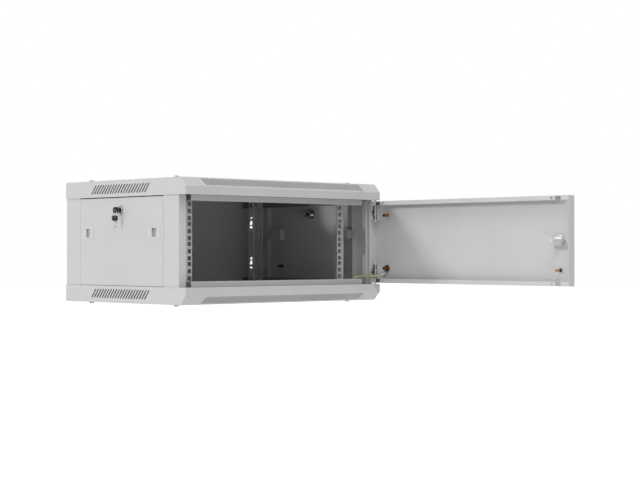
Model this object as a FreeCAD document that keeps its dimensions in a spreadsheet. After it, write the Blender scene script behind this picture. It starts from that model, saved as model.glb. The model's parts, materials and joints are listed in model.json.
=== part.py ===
import FreeCAD, Part
import math
import os
import re
import Sketcher
from FreeCAD import Rotation, Vector

# Wall mount network cabinet, four rack units high, with its door standing open at a right angle.
# Millimetres. X runs to the right along the front, Y runs back towards the wall, Z runs up.
# The origin is the middle of the four wall holes, on the rear face of the frame.
# The formulas measure heights from the cabinet's mid height, and keep() lifts each piece to the origin.

DOC = FreeCAD.newDocument("wall_cabinet")

# Driving dimensions

SIZES = {
    # Outside of the cabinet
    "width": 600.0,
    "depth": 450.0,
    "height": 279.0,
    "skin": 1.2,
    "frame_sheet": 1.5,
    "frame_inset": 1.5,
    "cap_height": 38.5,
    "chamfer_depth": 18.0,
    "chamfer_height": 20.0,
    "cap_side_lip": 12.0,
    "cap_fit": 0.3,
    "bend_radius": 1.0,
    # Rack space
    "rack_units": 4.0,
    "unit_height": 44.45,
    "hole_spread": 465.1,
    "hole_size": 9.5,
    "first_hole": 6.35,
    "hole_step": 15.875,
    "rail_inset": 53.5,
    "rail_flange": 21.5,
    "rail_side": 30.0,
    "rail_half_length": 105.0,
    "front_rail_set": 71.0,
    "rear_rail_set": 53.0,
    "side_hole_inset": 20.0,
    "side_hole_width": 5.5,
    # Posts, crossbars and rail carriers
    "post_recess": 25.5,
    "post_side": 55.0,
    "post_face": 20.5,
    "post_return": 13.0,
    "post_lip": 12.5,
    "catch_height": 62.0,
    "rear_flange": 52.0,
    "bar_return": 15.0,
    "bar_end_gap": 14.0,
    "bar_shoulder": 4.0,
    "carrier_gap": 2.0,
    "carrier_slot": 62.0,
    "carrier_slot_height": 6.6,
    "rail_bolt_drop": 8.1,
    "rail_bolt_set": 10.0,
    # Wall holes
    "wall_hole_width": 558.0,
    "wall_hole_height": 104.0,
    "wall_hole_radius": 8.0,
    "wall_slot_radius": 4.25,
    "wall_slot_reach": 17.75,
    "wall_hole_drop": 7.0,
    # Back panel
    "back_overlap": 15.0,
    "back_margin": 4.0,
    "back_screw_rise": 110.0,
    # Vents
    "side_vents": 21.0,
    "side_vent_pitch": 10.0,
    "side_vent_height": 20.5,
    "side_vent_lean": 17.0,
    "side_vent_width": 4.2,
    "vent_drop": 20.5,
    "front_vents": 64.0,
    "front_vent_pitch": 7.6,
    "front_vent_height": 14.5,
    "front_vent_lean": 7.0,
    "front_vent_width": 3.0,
    # Cable entries
    "entry_width": 240.0,
    "entry_depth": 64.0,
    "entry_set": 78.0,
    "entry_lap": 14.0,
    # Cover screws
    "screw_side": 36.0,
    "screw_front": 77.0,
    "screw_rear": 54.0,
    "screw_head_radius": 6.0,
    "screw_head_height": 5.0,
    "screw_radius": 3.0,
    "screw_hole_radius": 3.3,
    "screw_length": 12.0,
    "small_head_radius": 4.5,
    "small_head_height": 2.6,
    "small_screw_radius": 2.0,
    "small_hole_radius": 2.2,
    "small_screw_length": 8.0,
    "rivet_length": 2.6,
    # Side panels
    "panel_gap": 0.5,
    "panel_top_gap": 2.0,
    "panel_depth": 13.0,
    "hook_width": 30.0,
    "hook_drop": 8.0,
    "hook_set": 60.0,
    "panel_stud_rear": 45.5,
    "panel_stud_height": 41.0,
    # Slide latches
    "latch_set": 32.0,
    "latch_rise": 19.5,
    "latch_plate_length": 44.0,
    "latch_plate_height": 30.0,
    "latch_plate_proud": 0.8,
    "latch_length": 38.0,
    "latch_height": 26.0,
    "latch_depth": 14.0,
    "latch_wall": 1.5,
    "bolt_height": 20.0,
    "bolt_thickness": 5.0,
    "bolt_inset": 7.5,
    "bolt_gap": 0.3,
    "bolt_passage": 0.7,
    "finger_length": 16.0,
    "finger_height": 20.0,
    "ridge_count": 4.0,
    # Cam locks
    "lock_drop": 30.5,
    "lock_flange_radius": 10.0,
    "lock_flange": 3.0,
    "lock_radius": 9.2,
    "lock_length": 13.0,
    "lock_hole_gap": 0.2,
    "lock_nut_flats": 24.0,
    "lock_nut": 4.0,
    "plug_radius": 6.0,
    "plug_gap": 0.06,
    "plug_recess": 0.6,
    "square": 7.0,
    "square_gap": 0.02,
    "cam_gap": 0.5,
    "cam": 2.0,
    "cam_hub_radius": 9.0,
    "cam_width": 14.0,
    "cam_reach": 35.0,
    "key_slot_height": 8.0,
    "key_slot_width": 2.4,
    "key_slot_depth": 14.0,
    # Keys
    "key_head": 12.5,
    "key_head_height": 14.0,
    "key_head_thickness": 5.0,
    "key_stand": 4.0,
    "key_blade": 15.5,
    "key_blade_height": 7.0,
    "key_blade_thickness": 2.0,
    "key_eye_radius": 2.3,
    "key_eye_set": 3.8,
    "ring_radius": 7.0,
    "ring_wire": 0.8,
    "ring_drop": 0.88,
    "spare_drop": 0.8,
    # Door
    "door_gap": 3.0,
    "door_side_gap": 0.5,
    "door_depth": 21.5,
    "door_lip": 10.0,
    "door_lip_stop": 36.0,
    "door_hole_radius": 2.8,
    "door_hole_set": 9.8,
    "corner_tab": 20.5,
    "pin_inset": 8.2,
    "pin_radius": 3.0,
    "pin_fit": 0.05,
    "pin_engage": 3.5,
    "pin_length": 56.0,
    "collar_radius": 4.6,
    "collar": 2.0,
    "collar_set": 33.0,
    "tail_set": 25.0,
    "tail_radius": 1.5,
    "tail_reach": 15.0,
    "hinge_top": 9.5,
    "hinge_height": 36.0,
    "hinge_width": 21.0,
    "hinge_depth": 16.6,
    "hinge_window_near": 2.1,
    "hinge_window_far": 8.4,
    "hinge_window_end": 2.4,
    "hinge_relief": 4.8,
    "pin_travel": 7.0,
    "coil_radius": 4.4,
    "coil_wire": 0.9,
    "coil_seat": 0.3,
    "door_lock_edge": 38.0,
    "door_lock_length": 28.3,
    "door_cam_reach": 30.0,
    "door_stud_hinge": 42.5,
    "door_stud_edge": 37.0,
    "door_stud_drop": 34.5,
    "stud_radius": 3.0,
    "stud_length": 16.0,
    "stud_flange_radius": 4.5,
    "stud_flange": 1.0,
    "nut_flats": 10.0,
    "nut": 5.0,
    "washer_radius": 8.0,
    "washer": 1.2,
    # Earth lead and its stud on the frame
    "frame_stud_set": 7.0,
    "frame_stud_rise": 21.5,
    "lug": 0.8,
    "lug_ring_radius": 6.0,
    "lug_hole_radius": 3.2,
    "lug_barrel_radius": 2.9,
    "lug_barrel": 9.0,
    "lug_clear": 1.0,
    "lead_radius": 2.0,
}

# Route of the earth lead, chosen by hand, in three stretches that each follow one piece.
# A point is its distance in from the side, back from the front, and up from the piece's height.

LEAD_FROM_FRAME_STUD = [(48.1, 49.5, 17.0), (47.4, 48.2, 25.2), (43.0, 44.7, 31.4)]
LEAD_OVER_CROSSBAR = [(36.0, 39.2, 5.6), (29.3, 30.5, 6.5), (25.2, 17.5, 7.7)]
LEAD_TO_DOOR_STUD = [(23.5, 4.5, -17.4), (21.0, -5.0, -18.1), (14.9, -10.2, -18.6), (9.65, -17.0, -14.6)]

# Places worked out from the sizes, as formulas for the spreadsheet's names

SIDE = "(width / 2)"
TOP = "(height / 2)"
FRONT = "(frame_inset - depth)"
FRAME_SIDE = "(width / 2 - frame_inset)"
BAND = "(height / 2 - cap_height)"
STOP = "(rack_units * unit_height / 2)"
POST_FRONT = "(frame_inset - depth + post_recess)"
POST_END = "(frame_inset - depth + post_recess + post_side)"
POST_TOP = "(height / 2 - skin - frame_sheet)"
RAIL_SIDE = "(width / 2 - rail_inset)"
PANEL_FRONT = f"({POST_END} + panel_gap)"
PANEL_REAR = "(0 - post_side - panel_gap)"
PANEL_INSIDE = "(width / 2 - frame_inset - skin)"
LOCK_Y = f"(({POST_END} - post_side) / 2)"
LOCK_Z = f"({BAND} - lock_drop)"
PIN_X = "(width / 2 - pin_inset)"
PIN_Y = f"({FRONT} + pin_inset)"
DOOR_HINGE_Y = f"({PIN_Y} + pin_inset - door_side_gap)"
DOOR_FREE_Y = f"({PIN_Y} + pin_inset + door_side_gap - width)"
DOOR_TOP = f"({BAND} - door_gap)"
DOOR_INSIDE = "(width / 2 - skin)"
LATCH_Z = "latch_rise"
DOOR_STUD_Y = f"({DOOR_HINGE_Y} - door_stud_hinge)"
DOOR_STUD_Z = f"({DOOR_TOP} - door_stud_drop)"
CARRIER_FRONT = f"({POST_FRONT} + bar_return + carrier_gap)"
FRAME_STUD_Y = f"({CARRIER_FRONT} + frame_stud_set)"
FRAME_STUD_Z = f"(frame_stud_rise - {TOP})"

SIDES = {"left": -1, "right": 1}
LEVELS = {"bottom": -1, "top": 1}


# Spreadsheet of driving dimensions

def fill_sheet():
    sheet = DOC.addObject("Spreadsheet::Sheet", "Sizes")
    for row, (name, value) in enumerate(SIZES.items(), start=1):
        sheet.set(f"A{row}", name)
        sheet.set(f"B{row}", str(value))
        sheet.setAlias(f"B{row}", name)
    DOC.recompute()
    return sheet


SHEET = fill_sheet()
NODES = []


# Helpers for formulas, sketches and features

def formula(text):
    """Put the sheet's name before each of its names in a formula."""
    return re.sub(r"[a-z_]+", lambda word: f"Sizes.{word[0]}" if word[0] in SIZES else word[0], text)


def bind(item, prop, text):
    item.setExpression(prop, formula(text))


def keep(item, node):
    """Name a finished piece, lift it so that the wall holes centre on the origin, and list it for export."""
    item.Label = node
    bind(item, "Placement.Base.z", "wall_hole_drop")
    NODES.append(item)
    return item


def span(side, near, far):
    """Start and end of a stretch given by its distances from the middle plane."""
    return (near, far) if side > 0 else (f"-({far})", f"-({near})")


def new_body(node):
    body = DOC.addObject("PartDesign::Body", node)
    return keep(body, node)


def origin_feature(body, role):
    return [item for item in body.Origin.OriginFeatures if item.Role == role][0]


def new_sketch(body, name, plane, offset):
    sketch = body.newObject("Sketcher::SketchObject", name)
    sketch.AttachmentSupport = (origin_feature(body, plane), [""])
    sketch.MapMode = "FlatFace"
    sign = "-" if plane == "XZ_Plane" else ""
    bind(sketch, "AttachmentOffset.Base.z", f"{sign}({offset})")
    return sketch


def pin_point(sketch, geometry, point, across, up):
    """Hold one point of a sketch at two formulas, measured from the sketch's origin."""
    for kind, text in (("DistanceX", across), ("DistanceY", up)):
        index = sketch.addConstraint(Sketcher.Constraint(kind, geometry, point, 1.0))
        name = f"{kind}{index}"
        sketch.renameConstraint(index, name)
        bind(sketch, f"Constraints.{name}", text)


def draw_outline(sketch, corners):
    """Draw a closed outline with a corner at each pair of formulas."""
    count = len(corners)
    first = sketch.GeometryCount
    spots = [Vector(10 * math.cos(turn), 10 * math.sin(turn), 0)
             for turn in (2 * math.pi * index / count for index in range(count))]
    for index in range(count):
        sketch.addGeometry(Part.LineSegment(spots[index], spots[(index + 1) % count]), False)
    for index in range(count):
        following = first + (index + 1) % count
        sketch.addConstraint(Sketcher.Constraint("Coincident", first + index, 2, following, 1))
    for index, (across, up) in enumerate(corners):
        pin_point(sketch, first + index, 1, across, up)


def draw_circle(sketch, across, up, radius):
    geometry = sketch.addGeometry(Part.Circle(Vector(0, 0, 0), Vector(0, 0, 1), 1.0), False)
    index = sketch.addConstraint(Sketcher.Constraint("Radius", geometry, 1.0))
    name = f"Radius{index}"
    sketch.renameConstraint(index, name)
    bind(sketch, f"Constraints.{name}", radius)
    pin_point(sketch, geometry, 3, across, up)


def rectangle(low_across, low_up, high_across, high_up):
    return [(low_across, low_up), (high_across, low_up), (high_across, high_up), (low_across, high_up)]


def centred(across, up, width, height):
    """Corners of a rectangle about a centre."""
    return rectangle(f"{across} - ({width}) / 2", f"{up} - ({height}) / 2",
                     f"{across} + ({width}) / 2", f"{up} + ({height}) / 2")


def feature(body, kind, name, plane, start, end, outlines=(), circles=()):
    """Pad or pocket one sketch from its start to its end along the plane's own axis."""
    sketch = new_sketch(body, f"{name}_sketch", plane, start)
    for corners in outlines:
        draw_outline(sketch, corners)
    for circle in circles:
        draw_circle(sketch, *circle)
    item = body.newObject(f"PartDesign::{kind}", name)
    item.Profile = sketch
    bind(item, "Length", f"({end}) - ({start})")
    backwards = plane == "XZ_Plane"
    item.Reversed = backwards if kind == "Pad" else not backwards
    sketch.Visibility = False
    return item


def pad(body, name, plane, start, end, **shapes):
    return feature(body, "Pad", name, plane, start, end, **shapes)


def pocket(body, name, plane, start, end, **shapes):
    return feature(body, "Pocket", name, plane, start, end, **shapes)


def row(body, source, name, axis, step, count, backwards=False):
    """Repeat one feature in a line."""
    pattern = body.newObject("PartDesign::LinearPattern", name)
    pattern.Originals = [source]
    pattern.Direction = (origin_feature(body, axis), [""])
    pattern.Mode = "Spacing"
    bind(pattern, "Offset", step)
    bind(pattern, "Occurrences", count)
    pattern.Reversed = backwards
    body.Tip = pattern
    return pattern


def round_edges(body, name, radius, wanted):
    """Round the edges of the body that pass a test."""
    DOC.recompute()
    base = body.Tip
    edges = [f"Edge{index}" for index, edge in enumerate(base.Shape.Edges, start=1) if wanted(edge)]
    fillet = body.newObject("PartDesign::Fillet", name)
    fillet.Base = (base, edges)
    bind(fillet, "Radius", radius)
    body.Tip = fillet
    return fillet


# Helpers for primitives

TURNS = {
    "X": Rotation(Vector(0, 1, 0), 90),
    "Y": Rotation(Vector(1, 0, 0), -90),
    "Z": Rotation(),
}


def place(item, at, axis="Z"):
    item.Placement = FreeCAD.Placement(Vector(), TURNS[axis])
    for letter, text in zip("xyz", at):
        bind(item, f"Placement.Base.{letter}", text)
    return item


def rod(name, axis, at, radius, length):
    """Cylinder that starts at a point and runs along +X, +Y or +Z."""
    item = DOC.addObject("Part::Cylinder", name)
    bind(item, "Radius", radius)
    bind(item, "Height", length)
    return place(item, at, axis)


def block(name, low, high):
    item = DOC.addObject("Part::Box", name)
    for prop, start, end in zip(("Length", "Width", "Height"), low, high):
        bind(item, prop, f"({end}) - ({start})")
    return place(item, low)


def hexagon(name, axis, at, flats, length):
    item = DOC.addObject("Part::Prism", name)
    item.Polygon = 6
    bind(item, "Circumradius", f"({flats}) / sqrt(3)")
    bind(item, "Height", length)
    return place(item, at, axis)


def fuse(name, *items):
    item = DOC.addObject("Part::MultiFuse", name)
    item.Shapes = list(items)
    return item


def cut(name, base, *tools):
    tool = tools[0] if len(tools) == 1 else fuse(f"{name}_tools", *tools)
    item = DOC.addObject("Part::Cut", name)
    item.Base = base
    item.Tool = tool
    return item


def group(node, items):
    """Several like solids in one node."""
    item = DOC.addObject("Part::Compound", node)
    item.Links = list(items)
    return keep(item, node)


def along(axis, at, shift):
    """Move a point of formulas along one axis."""
    return tuple(f"{text} + ({shift})" if letter == axis else text for letter, text in zip("XYZ", at))


def screw(name, axis, seat, direction, small=False, length=None):
    """Pan head screw whose head stands on its seat and points along the direction."""
    kind = "small_" if small else "screw_"
    head_radius, head_height = f"{kind}head_radius", f"{kind}head_height"
    shank_radius = "small_screw_radius" if small else "screw_radius"
    length = length or ("small_screw_length" if small else "screw_length")
    head_start = seat if direction > 0 else along(axis, seat, f"-{head_height}")
    shank_start = along(axis, seat, f"-{length}") if direction > 0 else seat
    head = rod(f"{name}_head", axis, head_start, head_radius, head_height)
    shank = rod(f"{name}_shank", axis, shank_start, shank_radius, length)
    return fuse(name, head, shank)


# Top and bottom covers

def cover(level):
    """Folded pan with side skirts, a sloping front face and an upright front band."""
    sign = LEVELS[level]
    body = new_body(f"{level}_cover")

    def up(text):
        return f"{sign} * ({text})"

    lean = "atan(chamfer_depth / chamfer_height)"
    low_fold = f"skin * tan({lean} / 2)"
    high_fold = f"skin * tan((90 deg - {lean}) / 2)"
    outside = [
        (FRONT, up(BAND)),
        (FRONT, up(f"{TOP} - chamfer_height")),
        (f"{FRONT} + chamfer_depth", up(TOP)),
        ("frame_inset", up(TOP)),
        ("frame_inset", up(BAND)),
    ]
    inside = [
        (f"{FRONT} + skin", up(f"{BAND} + skin")),
        (f"{FRONT} + skin", up(f"{TOP} - chamfer_height - {low_fold}")),
        (f"{FRONT} + chamfer_depth + {high_fold}", up(f"{TOP} - skin")),
        ("frame_inset - skin", up(f"{TOP} - skin")),
        ("frame_inset - skin", up(f"{BAND} + skin")),
    ]
    pad(body, f"{level}_block", "YZ_Plane", f"-{SIDE}", SIDE, outlines=[outside])
    pocket(body, f"{level}_hollow", "YZ_Plane", f"-{SIDE} + skin", f"{SIDE} - skin", outlines=[inside])
    near = f"{SIDE} - cap_side_lip"
    wide = f"{SIDE} - skin"
    lip_front = f"{POST_END} + cap_fit"
    lip_rear = "0 - post_side - cap_fit"
    rear = "frame_inset - skin"
    mouth = [
        (f"-({wide})", POST_FRONT), (wide, POST_FRONT), (wide, lip_front), (near, lip_front),
        (near, lip_rear), (wide, lip_rear), (wide, rear), (f"-({wide})", rear),
        (f"-({wide})", lip_rear), (f"-({near})", lip_rear), (f"-({near})", lip_front),
        (f"-({wide})", lip_front),
    ]
    lip = span(sign, f"{BAND} - skin", f"{BAND} + 2 * skin")
    pocket(body, f"{level}_mouth", "XY_Plane", *lip, outlines=[mouth])
    sheet = span(sign, f"{TOP} - 2 * skin", f"{TOP} + skin")
    screw_holes = [(f"{side} * ({SIDE} - screw_side)", y, "screw_hole_radius")
                   for side in SIDES.values() for y in (f"{FRONT} + screw_front", "frame_inset - screw_rear")]
    entry = centred("0", "frame_inset - entry_set", "entry_width", "entry_depth")
    pocket(body, f"{level}_entry", "XY_Plane", *sheet, outlines=[entry])
    pocket(body, f"{level}_screw_holes", "XY_Plane", *sheet, circles=screw_holes)
    pins = [(f"{side} * ({SIDE} - pin_inset)", PIN_Y, "pin_radius + pin_fit") for side in SIDES.values()]
    pocket(body, f"{level}_pin_holes", "XY_Plane", *lip, circles=pins)
    entry_screws = [(f"{side} * (entry_width + entry_lap) / 2", "frame_inset - entry_set", "small_hole_radius")
                    for side in SIDES.values()]
    pocket(body, f"{level}_entry_holes", "XY_Plane", *sheet, circles=entry_screws)
    round_edges(body, f"{level}_bends", "bend_radius", outer_bend)
    side_row(body, level, sign)
    front_row(body, level, sign)
    return body


def outer_bend(edge):
    """Long outside bends of a cover: along the front, along the sides and at the corners."""
    box = edge.BoundBox
    half = SHEET.width / 2
    on_side = abs(abs(box.XMin) - half) < 0.01 and abs(abs(box.XMax) - half) < 0.01
    corner = on_side and box.XLength < 0.01 and edge.Length > 5 and abs(box.Center.z) > SHEET.height / 2 - SHEET.cap_height + 2
    front = box.XLength > SHEET.width - 1 and box.YLength < 0.01 and box.Center.y < 0
    upper = abs(box.Center.z) > SHEET.height / 2 - SHEET.chamfer_height - 0.01
    return corner or (front and upper)


def side_row(body, level, sign):
    """Leaning slots through both side skirts."""
    middle = f"{sign} * ({TOP} - vent_drop)"
    start = f"{LOCK_Y} - ((side_vents - 1) * side_vent_pitch) / 2"
    low, high = f"{middle} - side_vent_height / 2", f"{middle} + side_vent_height / 2"
    low_y, high_y = f"{start} + side_vent_lean / 2", f"{start} - side_vent_lean / 2"
    slot = [
        (f"{low_y} - side_vent_width / 2", low), (f"{low_y} + side_vent_width / 2", low),
        (f"{high_y} + side_vent_width / 2", high), (f"{high_y} - side_vent_width / 2", high),
    ]
    first = pocket(body, f"{level}_side_vent", "YZ_Plane", f"-{SIDE} - skin", f"{SIDE} + skin", outlines=[slot])
    row(body, first, f"{level}_side_vents", "Y_Axis", "side_vent_pitch", "side_vents")


def front_row(body, level, sign):
    """Leaning slots through the sloping front face."""
    middle = f"({TOP} - chamfer_height / 2)"
    start = "0 - ((front_vents - 1) * front_vent_pitch) / 2"
    low, high = f"{sign} * ({middle} - front_vent_height / 2)", f"{sign} * ({middle} + front_vent_height / 2)"
    low_x, high_x = f"{start} + front_vent_lean / 2", f"{start} - front_vent_lean / 2"
    slot = [
        (f"{low_x} - front_vent_width / 2", low), (f"{low_x} + front_vent_width / 2", low),
        (f"{high_x} + front_vent_width / 2", high), (f"{high_x} - front_vent_width / 2", high),
    ]
    reach = (f"{FRONT} - skin", f"{FRONT} + chamfer_depth + 2 * skin")
    first = pocket(body, f"{level}_front_vent", "XZ_Plane", *reach, outlines=[slot])
    row(body, first, f"{level}_front_vents", "X_Axis", "front_vent_pitch", "front_vents")


# Frame: posts, crossbars, rail carriers and back panel

def upright_bend(corners):
    """Test for the outer upright bends of a folded profile, at the given places."""
    def wanted(edge):
        box = edge.BoundBox
        if box.XLength > 0.01 or box.YLength > 0.01 or box.ZLength < SHEET.post_side:
            return False
        return any(abs(box.XMin - x) < 0.01 and abs(box.YMin - y) < 0.01 for x, y in corners)
    return wanted


def latch_window(side):
    """Opening for a latch bolt, as start and end across and up."""
    near = f"{FRAME_SIDE} - bolt_inset - bolt_thickness / 2 - bolt_passage"
    far = f"{FRAME_SIDE} - bolt_inset + bolt_thickness / 2 + bolt_passage"
    low, high = span(side, near, far)
    half = "(bolt_height / 2 + bolt_passage)"
    return rectangle(low, f"{LATCH_Z} - {half}", high, f"{LATCH_Z} + {half}")


def front_post(hand):
    side = SIDES[hand]
    body = new_body(f"front_{hand}_post")
    profile = [
        (FRAME_SIDE, POST_FRONT),
        (FRAME_SIDE, POST_END),
        (f"{FRAME_SIDE} - post_lip", POST_END),
        (f"{FRAME_SIDE} - post_lip", f"{POST_END} - frame_sheet"),
        (f"{FRAME_SIDE} - frame_sheet", f"{POST_END} - frame_sheet"),
        (f"{FRAME_SIDE} - frame_sheet", f"{POST_FRONT} + frame_sheet"),
        (f"{FRAME_SIDE} - post_face + frame_sheet", f"{POST_FRONT} + frame_sheet"),
        (f"{FRAME_SIDE} - post_face + frame_sheet", f"{POST_FRONT} + post_return"),
        (f"{FRAME_SIDE} - post_face", f"{POST_FRONT} + post_return"),
        (f"{FRAME_SIDE} - post_face", POST_FRONT),
    ]
    corners = [(f"{side} * ({x})", y) for x, y in profile]
    pad(body, f"front_{hand}_fold", "XY_Plane", f"-{POST_TOP}", POST_TOP, outlines=[corners])
    outer = side * (SHEET.width / 2 - SHEET.frame_inset)
    face = SHEET.frame_inset - SHEET.depth + SHEET.post_recess
    bends = upright_bend([(outer, face), (outer, face + SHEET.post_side), (outer - side * SHEET.post_face, face)])
    round_edges(body, f"front_{hand}_bends", "bend_radius", bends)
    catch = span(side, f"{FRAME_SIDE} - post_face - frame_sheet", f"{FRAME_SIDE} - post_face + 2 * frame_sheet")
    notch = rectangle(f"{POST_FRONT} + 2 * frame_sheet", "-catch_height / 2",
                      f"{POST_FRONT} + post_return + frame_sheet", "catch_height / 2")
    pocket(body, f"front_{hand}_catch", "YZ_Plane", *catch, outlines=[notch])
    reach = (f"{POST_END} - 2 * frame_sheet", f"{POST_END} + frame_sheet")
    pocket(body, f"front_{hand}_latch", "XZ_Plane", *reach, outlines=[latch_window(side)])
    return body


def rear_post(hand):
    side = SIDES[hand]
    body = new_body(f"rear_{hand}_post")
    profile = [
        (FRAME_SIDE, "0"),
        (FRAME_SIDE, "-post_side"),
        (f"{FRAME_SIDE} - post_lip", "-post_side"),
        (f"{FRAME_SIDE} - post_lip", "-post_side + frame_sheet"),
        (f"{FRAME_SIDE} - frame_sheet", "-post_side + frame_sheet"),
        (f"{FRAME_SIDE} - frame_sheet", "-frame_sheet"),
        (f"{FRAME_SIDE} - rear_flange", "-frame_sheet"),
        (f"{FRAME_SIDE} - rear_flange", "0"),
    ]
    corners = [(f"{side} * ({x})", y) for x, y in profile]
    pad(body, f"rear_{hand}_fold", "XY_Plane", f"-{POST_TOP}", POST_TOP, outlines=[corners])
    outer = side * (SHEET.width / 2 - SHEET.frame_inset)
    round_edges(body, f"rear_{hand}_bends", "bend_radius", upright_bend([(outer, 0), (outer, -SHEET.post_side)]))
    reach = ("-2 * frame_sheet", "frame_sheet")
    centre = f"{side} * wall_hole_width / 2"
    for name, level in LEVELS.items():
        middle = f"({level} * wall_hole_height / 2 - wall_hole_drop)"
        top = f"({middle} + wall_slot_reach)"
        pocket(body, f"rear_{hand}_{name}_keyhole", "XZ_Plane", *reach, circles=[(centre, middle, "wall_hole_radius")])
        slot = rectangle(f"{centre} - wall_slot_radius", middle, f"{centre} + wall_slot_radius", top)
        pocket(body, f"rear_{hand}_{name}_slot", "XZ_Plane", *reach, outlines=[slot])
        pocket(body, f"rear_{hand}_{name}_slot_end", "XZ_Plane", *reach, circles=[(centre, top, "wall_slot_radius")])
    lip = ("-post_side - frame_sheet", "-post_side + 2 * frame_sheet")
    pocket(body, f"rear_{hand}_latch", "XZ_Plane", *lip, outlines=[latch_window(side)])
    holes = [(f"{side} * ({FRAME_SIDE} - rear_flange + back_overlap / 2)", f"{level} * back_screw_rise",
              "small_hole_radius") for level in LEVELS.values()]
    pocket(body, f"rear_{hand}_screw_holes", "XZ_Plane", *reach, circles=holes)
    return body


def crossbar(level):
    """Angle between the front posts that the door closes against."""
    sign = LEVELS[level]
    body = new_body(f"{level}_crossbar")
    profile = [
        (POST_FRONT, STOP),
        (POST_FRONT, POST_TOP),
        (f"{POST_FRONT} + frame_sheet", POST_TOP),
        (f"{POST_FRONT} + frame_sheet", f"{STOP} + frame_sheet"),
        (f"{POST_FRONT} + bar_return", f"{STOP} + frame_sheet"),
        (f"{POST_FRONT} + bar_return", STOP),
    ]
    corners = [(y, f"{sign} * ({z})") for y, z in profile]
    reach = f"{FRAME_SIDE} - post_face"
    pad(body, f"{level}_crossbar_fold", "YZ_Plane", f"-({reach})", reach, outlines=[corners])
    face = SHEET.frame_inset - SHEET.depth + SHEET.post_recess
    stop = sign * SHEET.rack_units * SHEET.unit_height / 2

    def bend(edge):
        box = edge.BoundBox
        return box.XLength > SHEET.post_side and abs(box.YMin - face) < 0.01 and abs(box.ZMin - stop) < 0.01

    round_edges(body, f"{level}_crossbar_bend", "bend_radius", bend)
    low, high = span(sign, f"{STOP} - frame_sheet", f"{BAND} + bar_shoulder")
    ends = [rectangle(*(text for across in (span(side, f"{reach} - bar_end_gap", f"{reach} + frame_sheet"),)
                        for text in (across[0], low, across[1], high))) for side in SIDES.values()]
    whole = (f"{POST_FRONT} - frame_sheet", f"{POST_FRONT} + bar_return + frame_sheet")
    pocket(body, f"{level}_crossbar_ends", "XZ_Plane", *whole, outlines=ends)
    return body


def rail_bolt_places():
    """The four rails' bolt places along Y: rail name and formula."""
    return {
        "front": f"{FRONT} + front_rail_set + rail_bolt_set",
        "rear": "frame_inset - rear_rail_set - rail_bolt_set",
    }


def carrier(level, hand):
    """Angle from front to rear that carries the ends of the rack rails."""
    sign, side = LEVELS[level], SIDES[hand]
    body = new_body(f"{level}_{hand}_carrier")
    seat = f"{TOP} - skin"
    profile = [
        (RAIL_SIDE, STOP),
        (RAIL_SIDE, seat),
        (f"{FRAME_SIDE} - frame_sheet", seat),
        (f"{FRAME_SIDE} - frame_sheet", POST_TOP),
        (f"{RAIL_SIDE} + frame_sheet", POST_TOP),
        (f"{RAIL_SIDE} + frame_sheet", STOP),
    ]
    corners = [(f"{side} * ({x})", f"{sign} * ({z})") for x, z in profile]
    rear_end = "0 - frame_sheet - skin - carrier_gap"
    name = f"{level}_{hand}"
    pad(body, f"{name}_angle", "XZ_Plane", CARRIER_FRONT, rear_end, outlines=[corners])
    holes = [(f"{side} * ({SIDE} - screw_side)", y, "screw_hole_radius")
             for y in (f"{FRONT} + screw_front", "frame_inset - screw_rear")]
    top_sheet = span(sign, f"{POST_TOP} - frame_sheet", f"{TOP}")
    pocket(body, f"{name}_screw_holes", "XY_Plane", *top_sheet, circles=holes)
    wall = span(side, f"{RAIL_SIDE} - frame_sheet", f"{RAIL_SIDE} + 2 * frame_sheet")
    centre = f"{sign} * ({STOP} + rail_bolt_drop)"
    slots = [centred(y, centre, "carrier_slot / 2", "carrier_slot_height") for y in rail_bolt_places().values()]
    pocket(body, f"{name}_slots", "YZ_Plane", *wall, outlines=slots)
    return body


def back_panel():
    body = new_body("back_panel")
    reach = f"({FRAME_SIDE} - rear_flange + back_overlap)"
    top = f"({POST_TOP} - back_margin)"
    sheet = ("0 - frame_sheet - skin", "0 - frame_sheet")
    pad(body, "back_sheet", "XZ_Plane", *sheet, outlines=[rectangle(f"-{reach}", f"-{top}", reach, top)])
    holes = [(f"{side} * ({reach} - back_overlap / 2)", f"{level} * back_screw_rise", "small_hole_radius")
             for side in SIDES.values() for level in LEVELS.values()]
    through = ("0 - frame_sheet - 2 * skin", "0")
    pocket(body, "back_screw_holes", "XZ_Plane", *through, circles=holes)
    rivets = [screw(f"back_rivet_{index}", "Y", (x, "0 - frame_sheet - skin", z), -1, True, "rivet_length")
              for index, (x, z, _) in enumerate(holes)]
    group("back_panel_rivets", rivets)
    return body


# Rack rails

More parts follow.
